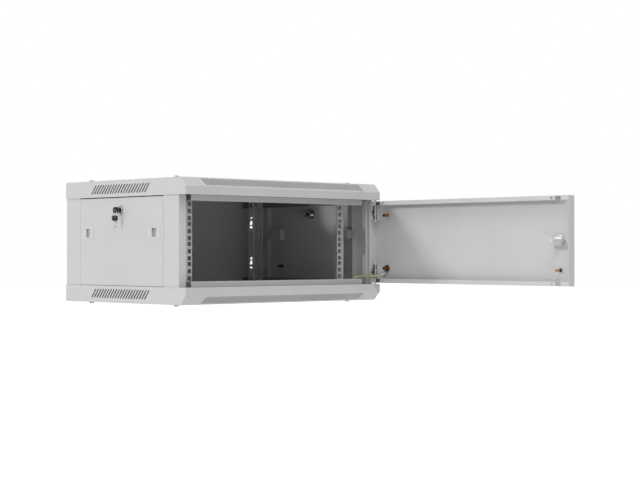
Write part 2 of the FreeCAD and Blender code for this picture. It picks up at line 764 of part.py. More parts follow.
def rack_rail(end, hand):
    """Upright angle with square equipment holes; the rear pair faces backwards."""
    side = SIDES[hand]
    ahead = 1 if end == "front" else -1
    plane = f"({FRONT} + front_rail_set)" if end == "front" else "(frame_inset - rear_rail_set)"
    name = f"{end}_{hand}"
    body = new_body(f"{name}_rail")

    def y(text):
        return f"{plane} + {ahead} * ({text})"

    profile = [
        (RAIL_SIDE, y("0")),
        (f"{RAIL_SIDE} - rail_flange", y("0")),
        (f"{RAIL_SIDE} - rail_flange", y("frame_sheet")),
        (f"{RAIL_SIDE} - frame_sheet", y("frame_sheet")),
        (f"{RAIL_SIDE} - frame_sheet", y("rail_side")),
        (RAIL_SIDE, y("rail_side")),
    ]
    corners = [(f"{side} * ({x})", place_y) for x, place_y in profile]
    pad(body, f"{name}_angle", "XY_Plane", "-rail_half_length", "rail_half_length", outlines=[corners])
    corner_x = side * (SHEET.width / 2 - SHEET.rail_inset)
    front_y = SHEET.frame_inset - SHEET.depth + SHEET.front_rail_set
    corner_y = front_y if end == "front" else SHEET.frame_inset - SHEET.rear_rail_set
    round_edges(body, f"{name}_bend", "bend_radius", upright_bend([(corner_x, corner_y)]))
    low = "(0 - rack_units / 2 * unit_height - unit_height)"
    heights = [f"{low} + first_hole + {index} * hole_step" for index in range(3)]
    flange = span(ahead, "-frame_sheet", "2 * frame_sheet")
    flange = [f"{plane} + {text}" for text in flange]
    squares = [centred(f"{side} * hole_spread / 2", z, "hole_size", "hole_size") for z in heights]
    first = pocket(body, f"{name}_holes", "XZ_Plane", *flange, outlines=squares)
    row(body, first, f"{name}_hole_rows", "Z_Axis", "unit_height", "rack_units + 2")
    wall = span(side, f"{RAIL_SIDE} - 2 * frame_sheet", f"{RAIL_SIDE} + frame_sheet")
    low = "(0 - rack_units / 2 * unit_height)"
    heights = [f"{low} + first_hole + {index} * hole_step" for index in range(3)]
    slots = [centred(y("side_hole_inset"), z, "side_hole_width", "hole_size") for z in heights]
    first = pocket(body, f"{name}_side_holes", "YZ_Plane", *wall, outlines=slots)
    row(body, first, f"{name}_side_hole_rows", "Z_Axis", "unit_height", "rack_units")
    holes = [(y("rail_bolt_set"), f"{level} * ({STOP} + rail_bolt_drop)", "screw_hole_radius")
             for level in LEVELS.values()]
    pocket(body, f"{name}_bolt_holes", "YZ_Plane", *wall, circles=holes)
    return body


def rail_screws():
    screws = []
    for hand, side in SIDES.items():
        for end, y in rail_bolt_places().items():
            for level, sign in LEVELS.items():
                seat = (f"{side} * ({RAIL_SIDE} - frame_sheet)", y, f"{sign} * ({STOP} + rail_bolt_drop)")
                screws.append(screw(f"rail_screw_{hand}_{end}_{level}", "X", seat, -side))
                low, high = span(side, f"{RAIL_SIDE} + frame_sheet", f"{RAIL_SIDE} + frame_sheet + nut")
                nut = hexagon(f"rail_nut_{hand}_{end}_{level}", "X", (low, *seat[1:]), "nut_flats", "nut")
                hole = rod(f"rail_nut_hole_{hand}_{end}_{level}", "X", (f"{low} - nut", *seat[1:]),
                           "screw_radius + plug_gap", "3 * nut")
                screws.append(cut(f"rail_nut_cut_{hand}_{end}_{level}", nut, hole))
    return group("rail_bolts", screws)


def cover_screws():
    screws = []
    for level, sign in LEVELS.items():
        for hand, side in SIDES.items():
            for end, y in {"front": f"{FRONT} + screw_front", "rear": "frame_inset - screw_rear"}.items():
                seat = (f"{side} * ({SIDE} - screw_side)", y, f"{sign} * {TOP}")
                screws.append(screw(f"cover_screw_{level}_{hand}_{end}", "Z", seat, sign))
    return group("cover_screws", screws)


# Cable entry covers

def entry_covers():
    plates = []
    screws = []
    for level, sign in LEVELS.items():
        low, high = span(sign, f"{TOP} - 2 * skin", f"{TOP} - skin")
        half_x, half_y = "(entry_width / 2 + entry_lap)", "(entry_depth / 2 + entry_lap)"
        middle = "(frame_inset - entry_set)"
        plate = block(f"{level}_entry_plate", (f"-{half_x}", f"{middle} - {half_y}", low),
                      (half_x, f"{middle} + {half_y}", high))
        holes = []
        for hand, side in SIDES.items():
            x = f"{side} * (entry_width + entry_lap) / 2"
            holes.append(rod(f"{level}_{hand}_entry_hole", "Z", (x, middle, f"{low} - skin"),
                             "small_hole_radius", "3 * skin"))
            screws.append(screw(f"{level}_{hand}_entry_screw", "Z", (x, middle, f"{sign} * {TOP}"), sign, small=True))
        plates.append(cut(f"{level}_entry_cover", plate, *holes))
    group("entry_covers", plates)
    group("entry_cover_screws", screws)


# Side panels and their slide latches

LATCH_ENDS = {"front": -1, "rear": 1}


def latch_middle(end):
    edge = PANEL_FRONT if end == "front" else PANEL_REAR
    return f"({edge} - {LATCH_ENDS[end]} * latch_set)"


def side_panel(hand):
    """Tray with inward edges, hooked at its foot, with windows for the latches and the lock."""
    side = SIDES[hand]
    body = new_body(f"{hand}_panel")
    low, high = f"(panel_gap - {BAND})", f"({BAND} - panel_top_gap)"
    whole = span(side, f"{FRAME_SIDE} - panel_depth", FRAME_SIDE)
    pad(body, f"{hand}_tray", "YZ_Plane", *whole, outlines=[rectangle(PANEL_FRONT, low, PANEL_REAR, high)])
    outer = side * (SHEET.width / 2 - SHEET.frame_inset)

    def outer_edge(edge):
        box = edge.BoundBox
        return box.XLength < 0.01 and abs(box.XMin - outer) < 0.01

    round_edges(body, f"{hand}_tray_edges", "skin / 2", outer_edge)
    hollow = span(side, f"{FRAME_SIDE} - panel_depth - skin", PANEL_INSIDE)
    well = rectangle(f"{PANEL_FRONT} + skin", f"{low} + skin", f"{PANEL_REAR} - skin", f"{high} - skin")
    pocket(body, f"{hand}_hollow", "YZ_Plane", *hollow, outlines=[well])
    hook = span(side, f"{FRAME_SIDE} - panel_depth", f"{FRAME_SIDE} - panel_depth + skin")
    hooks = []
    for edge, turn in ((PANEL_FRONT, 1), (PANEL_REAR, -1)):
        middle = f"{edge} + {turn} * hook_set"
        hooks.append(rectangle(f"{middle} - hook_width / 2", f"{low} - hook_drop",
                               f"{middle} + hook_width / 2", f"{low} + skin"))
    pad(body, f"{hand}_hooks", "YZ_Plane", *hook, outlines=hooks)
    through = span(side, f"{PANEL_INSIDE} - skin", f"{FRAME_SIDE} + skin")
    windows = [centred(latch_middle(end), LATCH_Z, "latch_length + 2 * bolt_gap", "latch_height + 2 * bolt_gap")
               for end in LATCH_ENDS]
    pocket(body, f"{hand}_windows", "YZ_Plane", *through, outlines=windows)
    lock = (LOCK_Y, LOCK_Z, "lock_radius + lock_hole_gap")
    pocket(body, f"{hand}_lock_hole", "YZ_Plane", *through, circles=[lock])
    for end, edge in (("front", PANEL_FRONT), ("rear", PANEL_REAR)):
        reach = (f"{edge} - 2 * skin", f"{edge} + 2 * skin")
        pocket(body, f"{hand}_{end}_passage", "XZ_Plane", *reach, outlines=[latch_window(side)])
    return body


def latch_housing(hand, end):
    """Moulded latch body with a face plate, a finger opening and a channel for the bolt."""
    side, out = SIDES[hand], LATCH_ENDS[end]
    middle = latch_middle(end)
    name = f"{hand}_{end}"

    def piece(label, near, far, length, height, shift="0"):
        low, high = span(side, near, far)
        centre = f"({middle} + {shift})"
        return block(f"{name}_{label}", (low, f"{centre} - ({length}) / 2", f"{LATCH_Z} - ({height}) / 2"),
                     (high, f"{centre} + ({length}) / 2", f"{LATCH_Z} + ({height}) / 2"))

    plate = piece("plate", FRAME_SIDE, f"{FRAME_SIDE} + latch_plate_proud", "latch_plate_length", "latch_plate_height")
    trunk = piece("trunk", f"{FRAME_SIDE} - latch_depth", FRAME_SIDE, "latch_length", "latch_height")
    bolt_low = f"{FRAME_SIDE} - bolt_inset - bolt_thickness / 2 - bolt_gap"
    bolt_high = f"{FRAME_SIDE} - bolt_inset + bolt_thickness / 2 + bolt_gap"
    channel = piece("channel", bolt_low, bolt_high, "latch_length", "bolt_height + 2 * bolt_gap", f"{out} * latch_wall")
    finger = piece("finger", f"{FRAME_SIDE} - bolt_inset", f"{FRAME_SIDE} + 2 * latch_plate_proud",
                   "finger_length", "finger_height")
    return cut(f"{name}_housing", fuse(f"{name}_moulding", plate, trunk), channel, finger)


def latch_bolt(hand, end):
    """Sliding bolt, drawn back, with finger ridges in the housing's opening."""
    side, out = SIDES[hand], LATCH_ENDS[end]
    name = f"{hand}_{end}"
    middle = latch_middle(end)
    edge = PANEL_FRONT if end == "front" else PANEL_REAR
    inner = f"({middle} - {out} * (latch_length / 2 - latch_wall - bolt_gap))"
    tip = f"({edge} - {out} * (skin + bolt_gap))"
    start, stop = (tip, inner) if out < 0 else (inner, tip)
    low, high = span(side, f"{FRAME_SIDE} - bolt_inset - bolt_thickness / 2",
                     f"{FRAME_SIDE} - bolt_inset + bolt_thickness / 2")
    plate = block(f"{name}_bolt_plate", (low, start, f"{LATCH_Z} - bolt_height / 2"),
                  (high, stop, f"{LATCH_Z} + bolt_height / 2"))
    ridges = []
    for index in range(int(SHEET.ridge_count)):
        y = f"({middle} - {out} * (finger_length / 4) + ({index} - (ridge_count - 1) / 2) * skin * 1.6)"
        near, far = span(side, f"{FRAME_SIDE} - bolt_inset + bolt_thickness / 2",
                         f"{FRAME_SIDE} - bolt_inset + bolt_thickness / 2 + skin")
        ridges.append(block(f"{name}_ridge_{index}", (near, f"{y} - skin / 2", f"{LATCH_Z} - finger_height / 2 + skin"),
                            (far, f"{y} + skin / 2", f"{LATCH_Z} + finger_height / 2 - skin")))
    return keep(fuse(f"{name}_bolt", plate, *ridges), f"{hand}_{end}_bolt")


def stud(name, axis, foot, direction):
    """Welded stud with a thin flange, standing along the direction from its foot."""
    flange_start = foot if direction > 0 else along(axis, foot, "-stud_flange")
    start = foot if direction > 0 else along(axis, foot, "-stud_length")
    flange = rod(f"{name}_flange", axis, flange_start, "stud_flange_radius", "stud_flange")
    shank = rod(f"{name}_shank", axis, start, "stud_radius", "stud_length")
    return fuse(name, flange, shank)


def panel_stud(hand):
    side = SIDES[hand]
    foot = (f"{side} * {PANEL_INSIDE}", f"{PANEL_REAR} - panel_stud_rear", f"panel_stud_height - {BAND}")
    return keep(stud(f"{hand}_stud", "X", foot, -side), f"{hand}_panel_stud")


# Cam locks

def lock_parts(name, side, face, inside, y, z, length, reach, cam_turn):
    """Barrel, nut, plug and cam on an axis along X; the cam points along cam_turn."""
    def rod_between(label, near, far, radius):
        low, high = span(side, near, far)
        return rod(f"{name}_{label}", "X", (low, y, z), radius, f"({high}) - ({low})")

    back = f"({face} - {length})"
    flange = rod_between("flange", face, f"{face} + lock_flange", "lock_flange_radius")
    trunk = rod_between("trunk", back, face, "lock_radius")
    bore = rod_between("bore", f"{back} - skin", f"{face} + lock_flange + skin", "plug_radius + plug_gap")
    keep(cut(f"{name}_barrel_cut", fuse(f"{name}_tube", flange, trunk), bore), f"{name}_barrel")
    nut_low, nut_high = span(side, f"{inside} - lock_nut", inside)
    nut = hexagon(f"{name}_hexagon", "X", (nut_low, y, z), "lock_nut_flats", "lock_nut")
    nut_hole = rod(f"{name}_nut_hole", "X", (f"{nut_low} - skin", y, z), "lock_radius + plug_gap", "lock_nut + 2 * skin")
    keep(cut(f"{name}_nut_cut", nut, nut_hole), f"{name}_nut")
    cam_near, cam_far = f"{back} - cam_gap - cam", f"{back} - cam_gap"
    core = rod_between("core", f"{back} - cam_gap / 2", f"{face} + lock_flange - plug_recess", "plug_radius")
    square_low, square_high = span(side, f"{cam_near} - cam", f"{back} - cam_gap / 2")
    square = block(f"{name}_square", (square_low, f"{y} - square / 2", f"{z} - square / 2"),
                   (square_high, f"{y} + square / 2", f"{z} + square / 2"))
    slot_low, slot_high = span(side, f"{face} + lock_flange - plug_recess - key_slot_depth", f"{face} + 2 * lock_flange")
    slot = block(f"{name}_key_slot", (slot_low, f"{y} - key_slot_width / 2", f"{z} - key_slot_height / 2"),
                 (slot_high, f"{y} + key_slot_width / 2", f"{z} + key_slot_height / 2"))
    keep(cut(f"{name}_plug_cut", fuse(f"{name}_plug_solid", core, square), slot), f"{name}_plug")
    low, high = span(side, cam_near, cam_far)
    hub = rod(f"{name}_hub", "X", (low, y, z), "cam_hub_radius", "cam")
    arm_y, arm_z = cam_turn
    straight = f"({reach} - cam_width / 2)"
    tip = rod(f"{name}_tip", "X", (low, f"{y} + {arm_y} * {straight}", f"{z} + {arm_z} * {straight}"),
              "cam_width / 2", "cam")
    arm_low = (f"{y} - {arm_z} * cam_width / 2", f"{z} - {arm_y} * cam_width / 2")
    arm_high = (f"{y} + {arm_y} * {straight} + {arm_z} * cam_width / 2",
                f"{z} + {arm_z} * {straight} + {arm_y} * cam_width / 2")
    arm = block(f"{name}_arm", (low, *arm_low), (high, *arm_high))
    hole_half = "(square / 2 + square_gap)"
    hole = block(f"{name}_cam_hole", (f"{low} - cam", f"{y} - {hole_half}", f"{z} - {hole_half}"),
                 (f"{high} + cam", f"{y} + {hole_half}", f"{z} + {hole_half}"))
    keep(cut(f"{name}_cam_cut", fuse(f"{name}_cam_plate", hub, arm, tip), hole), f"{name}_cam")


# Keys

def keys():
    """Key in the left lock, its ring, and the spare key that hangs from the ring."""
    head_near = f"({FRAME_SIDE} + lock_flange + key_stand)"
    head_far = f"({head_near} + key_head)"
    head = block("key_head", (f"-{head_far}", f"{LOCK_Y} - key_head_thickness / 2", f"{LOCK_Z} - key_head_height / 2"),
                 (f"-{head_near}", f"{LOCK_Y} + key_head_thickness / 2", f"{LOCK_Z} + key_head_height / 2"))
    blade = block("key_blade", (f"-{head_near} - skin", f"{LOCK_Y} - key_blade_thickness / 2",
                                f"{LOCK_Z} - key_blade_height / 2"),
                  (f"-{head_near} + key_blade", f"{LOCK_Y} + key_blade_thickness / 2",
                   f"{LOCK_Z} + key_blade_height / 2"))
    eye_x = f"(0 - {head_far} + key_eye_set)"
    eye_start = f"{LOCK_Y} - key_head_thickness"
    eye = rod("key_eye", "Y", (eye_x, eye_start, LOCK_Z), "key_eye_radius", "2 * key_head_thickness")
    keep(cut("key_cut", fuse("key_solid", rounded(head, "Y"), blade), eye), "panel_key")
    ring = DOC.addObject("Part::Torus", "ring")
    bind(ring, "Radius1", "ring_radius")
    bind(ring, "Radius2", "ring_wire")
    ring_z = f"({LOCK_Z} - ring_drop - ring_radius)"
    group("key_ring", [place(ring, (eye_x, LOCK_Y, ring_z), "X")])
    spare_z = f"({ring_z} - ring_radius - spare_drop)"
    spare_top = f"({spare_z} + key_eye_set)"
    spare_foot = f"({spare_top} - key_head)"
    head = block("spare_head", (f"{eye_x} - key_head_height / 2", f"{LOCK_Y} - key_head_thickness / 2", spare_foot),
                 (f"{eye_x} + key_head_height / 2", f"{LOCK_Y} + key_head_thickness / 2", spare_top))
    blade = block("spare_blade", (f"{eye_x} - key_blade_height / 2", f"{LOCK_Y} - key_blade_thickness / 2",
                                  f"{spare_foot} - key_blade"),
                  (f"{eye_x} + key_blade_height / 2", f"{LOCK_Y} + key_blade_thickness / 2", f"{spare_foot} + skin"))
    eye = rod("spare_eye", "Y", (eye_x, eye_start, spare_z), "key_eye_radius", "2 * key_head_thickness")
    keep(cut("spare_cut", fuse("spare_solid", rounded(head, "Y"), blade), eye), "spare_key")


def rounded(item, axis):
    """Round the four edges of a block that run along one axis."""
    DOC.recompute()
    fillet = DOC.addObject("Part::Fillet", f"{item.Name}_rounded")
    fillet.Base = item
    radius = SHEET.key_head_height / 5
    lengths = {"X": "XLength", "Y": "YLength", "Z": "ZLength"}
    fillet.Edges = [(index, radius, radius) for index, edge in enumerate(item.Shape.Edges, start=1)
                    if getattr(edge.BoundBox, lengths[axis]) > edge.Length - 0.01]
    return fillet


# Door

def door_shell():
    """Tray that stands open at a right angle, with its hollow side towards the left."""
    body = new_body("door_shell")
    whole = rectangle(DOOR_FREE_Y, f"-{DOOR_TOP}", DOOR_HINGE_Y, DOOR_TOP)
    pad(body, "door_block", "YZ_Plane", f"{SIDE} - door_depth", SIDE, outlines=[whole])
    outer = SHEET.width / 2

    def outer_edge(edge):
        box = edge.BoundBox
        return box.XLength < 0.01 and abs(box.XMin - outer) < 0.01

    round_edges(body, "door_edges", "bend_radius", outer_edge)
    well = rectangle(f"{DOOR_FREE_Y} + skin", f"skin - {DOOR_TOP}", f"{DOOR_HINGE_Y} - skin", f"{DOOR_TOP} - skin")
    pocket(body, "door_hollow", "YZ_Plane", f"{SIDE} - door_depth - skin", DOOR_INSIDE, outlines=[well])
    lip = (f"{SIDE} - door_depth", f"{SIDE} - door_depth + skin")
    for level, sign in LEVELS.items():
        low, high = span(sign, f"{DOOR_TOP} - door_lip", DOOR_TOP)
        strip = rectangle(f"{DOOR_FREE_Y} + door_lip_stop", low, f"{DOOR_HINGE_Y} - door_lip_stop", high)
        free_tab = rectangle(DOOR_FREE_Y, low, f"{DOOR_FREE_Y} + corner_tab", high)
        hinge_tab = rectangle(f"{DOOR_HINGE_Y} - corner_tab", low, DOOR_HINGE_Y, high)
        pad(body, f"door_{level}_lip", "YZ_Plane", *lip, outlines=[strip, free_tab, hinge_tab])
    through = (f"{SIDE} - door_depth - skin", f"{SIDE} - door_depth + 2 * skin")
    holes = [(y, f"{sign} * ({DOOR_TOP} - door_lip / 2)", "door_hole_radius") for sign in LEVELS.values()
             for y in (f"{DOOR_HINGE_Y} - door_lip_stop - door_hole_set",
                       f"{DOOR_FREE_Y} + door_lip_stop + door_hole_set")]
    pocket(body, "door_lip_holes", "YZ_Plane", *through, circles=holes)
    pocket(body, "door_lock_hole", "YZ_Plane", f"{SIDE} - 2 * skin", f"{SIDE} + skin",
           circles=[(f"{DOOR_FREE_Y} + door_lock_edge", "0", "lock_radius + lock_hole_gap")])
    for level, sign in LEVELS.items():
        wall = span(sign, f"{DOOR_TOP} - 2 * skin", f"{DOOR_TOP} + skin")
        pocket(body, f"door_{level}_pin_hole", "XY_Plane", *wall, circles=[(PIN_X, PIN_Y, "pin_radius + pin_fit")])
    return body


def hinge_bracket(level):
    """Bracket welded inside the door, with two ears that guide the spring pin."""
    sign = LEVELS[level]
    top = f"({DOOR_TOP} - hinge_top)"
    foot = f"({top} - hinge_height)"
    near, far = f"{DOOR_INSIDE} - hinge_depth", DOOR_INSIDE
    low_y, high_y = f"{PIN_Y} - hinge_width / 2 - skin", f"{DOOR_HINGE_Y} - skin - cap_fit"

    def slab(label, low, high, start, end):
        low_z, high_z = span(sign, start, end)
        return block(f"{level}_{label}", (low, low_y, low_z), (high, high_y, high_z))

    web = slab("hinge_web", near, f"{near} + skin", foot, top)
    high_ear = slab("hinge_high_ear", near, far, f"{top} - skin", top)
    low_ear = slab("hinge_low_ear", near, far, foot, f"{foot} + skin")
    bore_low, bore_high = span(sign, f"{foot} - skin", f"{top} + skin")
    bore = rod(f"{level}_hinge_bore", "Z", (PIN_X, PIN_Y, bore_low), "pin_radius + pin_fit",
               f"({bore_high}) - ({bore_low})")
    side_low, side_high = span(sign, foot, top)
    side = block(f"{level}_hinge_side", (f"{near} + hinge_relief", low_y, side_low),
                 (far, f"{low_y} + skin", side_high))
    slot_low, slot_high = span(sign, f"{top} - tail_set + hinge_top - pin_travel - 2 * tail_radius",
                               f"{top} - tail_set + hinge_top + 2 * tail_radius")
    slot = block(f"{level}_tail_slot", (f"{near} - skin", f"{PIN_Y} - tail_radius - bolt_gap", slot_low),
                 (f"{near} + 2 * skin", f"{PIN_Y} + tail_radius + bolt_gap", slot_high))
    window_low, window_high = span(sign, f"{foot} + hinge_window_end", f"{top} - hinge_window_end")
    window = block(f"{level}_hinge_window", (f"{near} - skin", f"{PIN_Y} - hinge_window_far", window_low),
                   (f"{near} + 2 * skin", f"{PIN_Y} - hinge_window_near + bolt_gap", window_high))
    plates = fuse(f"{level}_hinge_plates", web, side, high_ear, low_ear)
    return cut(f"{level}_hinge_bracket", plates, bore, slot, window)


def hinge_pin(level):
    """Sprung pin with a collar for its spring and a tail to draw it back."""
    sign = LEVELS[level]
    tip = f"({BAND} + pin_engage)"

    def rod_between(label, start, end, radius):
        low, high = span(sign, start, end)
        return rod(f"{level}_pin_{label}", "Z", (PIN_X, PIN_Y, low), radius, f"({high}) - ({low})")

    shank = rod_between("shank", f"{tip} - pin_length", tip, "pin_radius")
    seat = f"({DOOR_TOP} - collar_set)"
    collar = rod_between("collar", seat, f"{seat} + collar", "collar_radius")
    tail = rod(f"{level}_pin_tail", "X", (f"{PIN_X} - tail_reach", PIN_Y, f"{sign} * ({DOOR_TOP} - tail_set)"),
               "tail_radius", "tail_reach")
    keep(fuse(f"{level}_pin", shank, collar, tail), f"{level}_hinge_pin")
    foot = f"({DOOR_TOP} - hinge_top - hinge_height + skin + coil_seat)"
    coil = rod_between("coil", foot, f"{seat} - coil_seat", "coil_radius")
    hollow = rod_between("coil_hollow", f"{foot} - skin", seat, "coil_radius - coil_wire")
    keep(cut(f"{level}_coil_cut", coil, hollow), f"{level}_hinge_spring")


def door_hardware():
    group("hinge_brackets", [hinge_bracket(level) for level in LEVELS])
    for level in LEVELS:
        hinge_pin(level)
    outer_y = f"{DOOR_FREE_Y} + door_stud_edge"
    places = {"upper": (DOOR_STUD_Y, 1), "lower": (DOOR_STUD_Y, -1), "outer": (outer_y, -1)}
    studs = [stud(f"door_stud_{name}", "X", (DOOR_INSIDE, y, f"{sign} * {DOOR_STUD_Z}"), -1)
             for name, (y, sign) in places.items()]
    group("door_studs", studs)
    seat = f"({DOOR_INSIDE} - stud_flange - lug)"
    spot = (DOOR_STUD_Y, f"-{DOOR_STUD_Z}")
    washer = rod("door_washer", "X", (f"{seat} - washer", *spot), "washer_radius", "washer")
    nut = hexagon("door_nut_hexagon", "X", (f"{seat} - washer - nut", *spot), "nut_flats", "nut")
    hole = rod("door_nut_hole", "X", (f"{seat} - 2 * nut", *spot), "stud_radius + plug_gap", "3 * nut")
    keep(cut("door_nut_cut", fuse("door_nut_solid", washer, nut), hole), "door_stud_nut")


# Earth connection between frame and door

def frame_earth():
    """Stud on the outer side of the lower right carrier, near its front."""
    foot = (f"{RAIL_SIDE} + frame_sheet", FRAME_STUD_Y, FRAME_STUD_Z)
    keep(stud("frame_earth_stud", "X", foot, 1), "frame_stud")
    seat = f"({RAIL_SIDE} + frame_sheet + stud_flange + lug)"
    nut = hexagon("frame_nut_hexagon", "X", (seat, *foot[1:]), "nut_flats", "nut")
    hole = rod("frame_nut_hole", "X", (f"{seat} - nut", *foot[1:]), "stud_radius + plug_gap", "3 * nut")
    keep(cut("frame_nut_cut", nut, hole), "frame_stud_nut")


def lug(node, spot, clear, lead_end, lead_next):
    """Ring terminal round a spot. Its tongue stays flat for a clear radius, then rises to the lead's barrel."""
    ring_radius, thickness = SHEET.lug_ring_radius, SHEET.lug
    barrel_length, grip = SHEET.lug_barrel, SHEET.lug_barrel / 3
    heading = (lead_end - lead_next).normalize()
    half = Vector(thickness / 2, 0, 0)
    ring = Part.makeCylinder(ring_radius, thickness, spot - half, Vector(1, 0, 0))
    barrel = Part.makeCylinder(SHEET.lug_barrel_radius, barrel_length + grip, lead_end - heading * grip, heading)
    mouth = Part.makeCylinder(SHEET.lead_radius + SHEET.plug_gap, grip + thickness,
                              lead_end - heading * (grip + thickness), heading)
    end = lead_end + heading * (barrel_length - thickness)
    outward = Vector(0, end.y - spot.y, end.z - spot.z).normalize()
    flat_start, bend = spot + outward * (ring_radius - 2 * thickness), spot + outward * clear
    tongue = [tongue_run(flat_start, bend + outward * half.x), tongue_run(bend, end)]
    hole = Part.makeCylinder(SHEET.lug_hole_radius, 4 * thickness, spot - half * 4, Vector(1, 0, 0))
    item = DOC.addObject("Part::Feature", node)
    item.Shape = ring.fuse([barrel, *tongue]).cut(hole).cut(mouth)
    return keep(item, node)


def tongue_run(start, end):
    """Flat strip from a start to an end, with its faces turned along X as far as it can."""
    path = end - start
    width = SHEET.lug_ring_radius * 0.9
    strip = Part.makeBox(SHEET.lug, width, path.Length, Vector(-SHEET.lug / 2, -width / 2, 0))
    strip.Placement = FreeCAD.Placement(start, Rotation(Vector(), path.cross(Vector(1, 0, 0)), path, "ZYX"))
    return strip


def lead_wire(points):
    """Straight runs joined by the largest tangent arcs that their runs allow."""
    edges = []
    start = points[0]
    for before, corner, after in zip(points, points[1:], points[2:]):
        coming, going = (corner - before).normalize(), (after - corner).normalize()
        turn = coming.getAngle(going)
        shorter = min((corner - before).Length, (after - corner).Length)
        trim = 0.45 * shorter
        radius = trim / math.tan(turn / 2)
        print(f"earth lead bend: turn {math.degrees(turn):.0f} degrees, radius {radius:.1f} mm")
        enter, leave = corner - coming * trim, corner + going * trim
        inward = (going - coming).normalize()
        middle = corner + inward * (radius / math.cos(turn / 2) - radius)
        edges.append(Part.LineSegment(start, enter).toShape())
        edges.append(Part.Arc(enter, middle, leave).toShape())
        start = leave
    edges.append(Part.LineSegment(start, points[-1]).toShape())
    return Part.Wire(edges)


def lead_route(frame_spot, door_spot):
    """The lead's points, from its frame lug to its door lug."""
    side, front = SHEET.width / 2, SHEET.frame_inset - SHEET.depth
    stop = -SHEET.rack_units * SHEET.unit_height / 2
    stretches = ((frame_spot.z, LEAD_FROM_FRAME_STUD), (stop, LEAD_OVER_CROSSBAR), (door_spot.z, LEAD_TO_DOOR_STUD))
    return [Vector(side - inward, front + back, height + up)
            for height, stretch in stretches for inward, back, up in stretch]


def earth_lead():
    """The lead and the ring lugs at its two ends."""
    half_height = SHEET.height / 2
    front = SHEET.frame_inset - SHEET.depth
    frame_spot = Vector(SHEET.width / 2 - SHEET.rail_inset + SHEET.frame_sheet + SHEET.stud_flange + SHEET.lug / 2,
                        front + SHEET.post_recess + SHEET.bar_return + SHEET.carrier_gap + SHEET.frame_stud_set,
                        SHEET.frame_stud_rise - half_height)
    door_top = half_height - SHEET.cap_height - SHEET.door_gap
    door_spot = Vector(SHEET.width / 2 - SHEET.skin - SHEET.stud_flange - SHEET.lug / 2,
                       front + 2 * SHEET.pin_inset - SHEET.door_side_gap - SHEET.door_stud_hinge,
                       SHEET.door_stud_drop - door_top)
    route = lead_route(frame_spot, door_spot)
    wire = lead_wire(route)
    ring = Part.Wire(Part.makeCircle(SHEET.lead_radius, route[0], route[1] - route[0]))
    item = DOC.addObject("Part::Feature", "earth_lead")
    item.Shape = wire.makePipeShell([ring], True, False)
    expected = math.pi * SHEET.lead_radius ** 2 * wire.Length
    print(f"earth lead: length {wire.Length:.1f} mm, volume {item.Shape.Volume:.0f} of {expected:.0f} mm3")
    keep(item, "earth_lead")
    lug("frame_lug", frame_spot, SHEET.nut_flats / math.sqrt(3) + SHEET.lug_clear, route[0], route[1])
    lug("door_lug", door_spot, SHEET.washer_radius + SHEET.lug_clear, route[-1], route[-2])


# The assembly

def build():
    for level in LEVELS:
        cover(level)
        crossbar(level)
    for hand in SIDES:
        front_post(hand)
        rear_post(hand)
        for level in LEVELS:
            carrier(level, hand)
        for end in ("front", "rear"):
            rack_rail(end, hand)
    back_panel()
    rail_screws()
    cover_screws()
    entry_covers()
    for hand, side in SIDES.items():
        side_panel(hand)
        group(f"{hand}_latch_housings", [latch_housing(hand, end) for end in LATCH_ENDS])
        for end in LATCH_ENDS:
            latch_bolt(hand, end)
        panel_stud(hand)
        lock_parts(f"{hand}_lock", side, FRAME_SIDE, PANEL_INSIDE, LOCK_Y, LOCK_Z, "lock_length", "cam_reach", (1, 0))
    keys()
    door_shell()
    door_hardware()
    lock_parts("door_lock", 1, SIDE, DOOR_INSIDE, f"({DOOR_FREE_Y} + door_lock_edge)", "0",
               "door_lock_length", "door_cam_reach", (1, 0))
    frame_earth()
    earth_lead()


build()


# Check every object and write one file per node

def check_and_write():
    DOC.recompute()
    for item in DOC.Objects:
        if "Invalid" in item.State or "Error" in item.State:
            raise RuntimeError(f"{item.Label} failed: {item.State}")
    os.makedirs("parts", exist_ok=True)
    for item in NODES:
        if item.Shape.isNull() or not item.Shape.isValid():
            raise RuntimeError(f"{item.Label} has no valid shape")
        item.Shape.exportStep(f"parts/{item.Label}.step")
        print(f"{item.Label}: {len(item.Shape.Solids)} solid(s), {item.Shape.Volume / 1000:.2f} cm3")
    print(f"{len(NODES)} nodes written")


check_and_write()
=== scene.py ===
# %% [markdown]
# # Wall mount network cabinet, door open
#
# The cabinet is folded sheet steel: two pans for top and bottom, posts between them, lift-out sides and a
# tray for a door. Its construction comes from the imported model, so this lesson gives each folded sheet
# its finish and models the small parts that a folded-sheet model leaves plain: screws, threads, springs,
# keys and the earth lead. Everything is in metres, and the origin is the middle of the four wall holes.

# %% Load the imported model
import bpy
import json
import math
from mathutils import Matrix, Vector


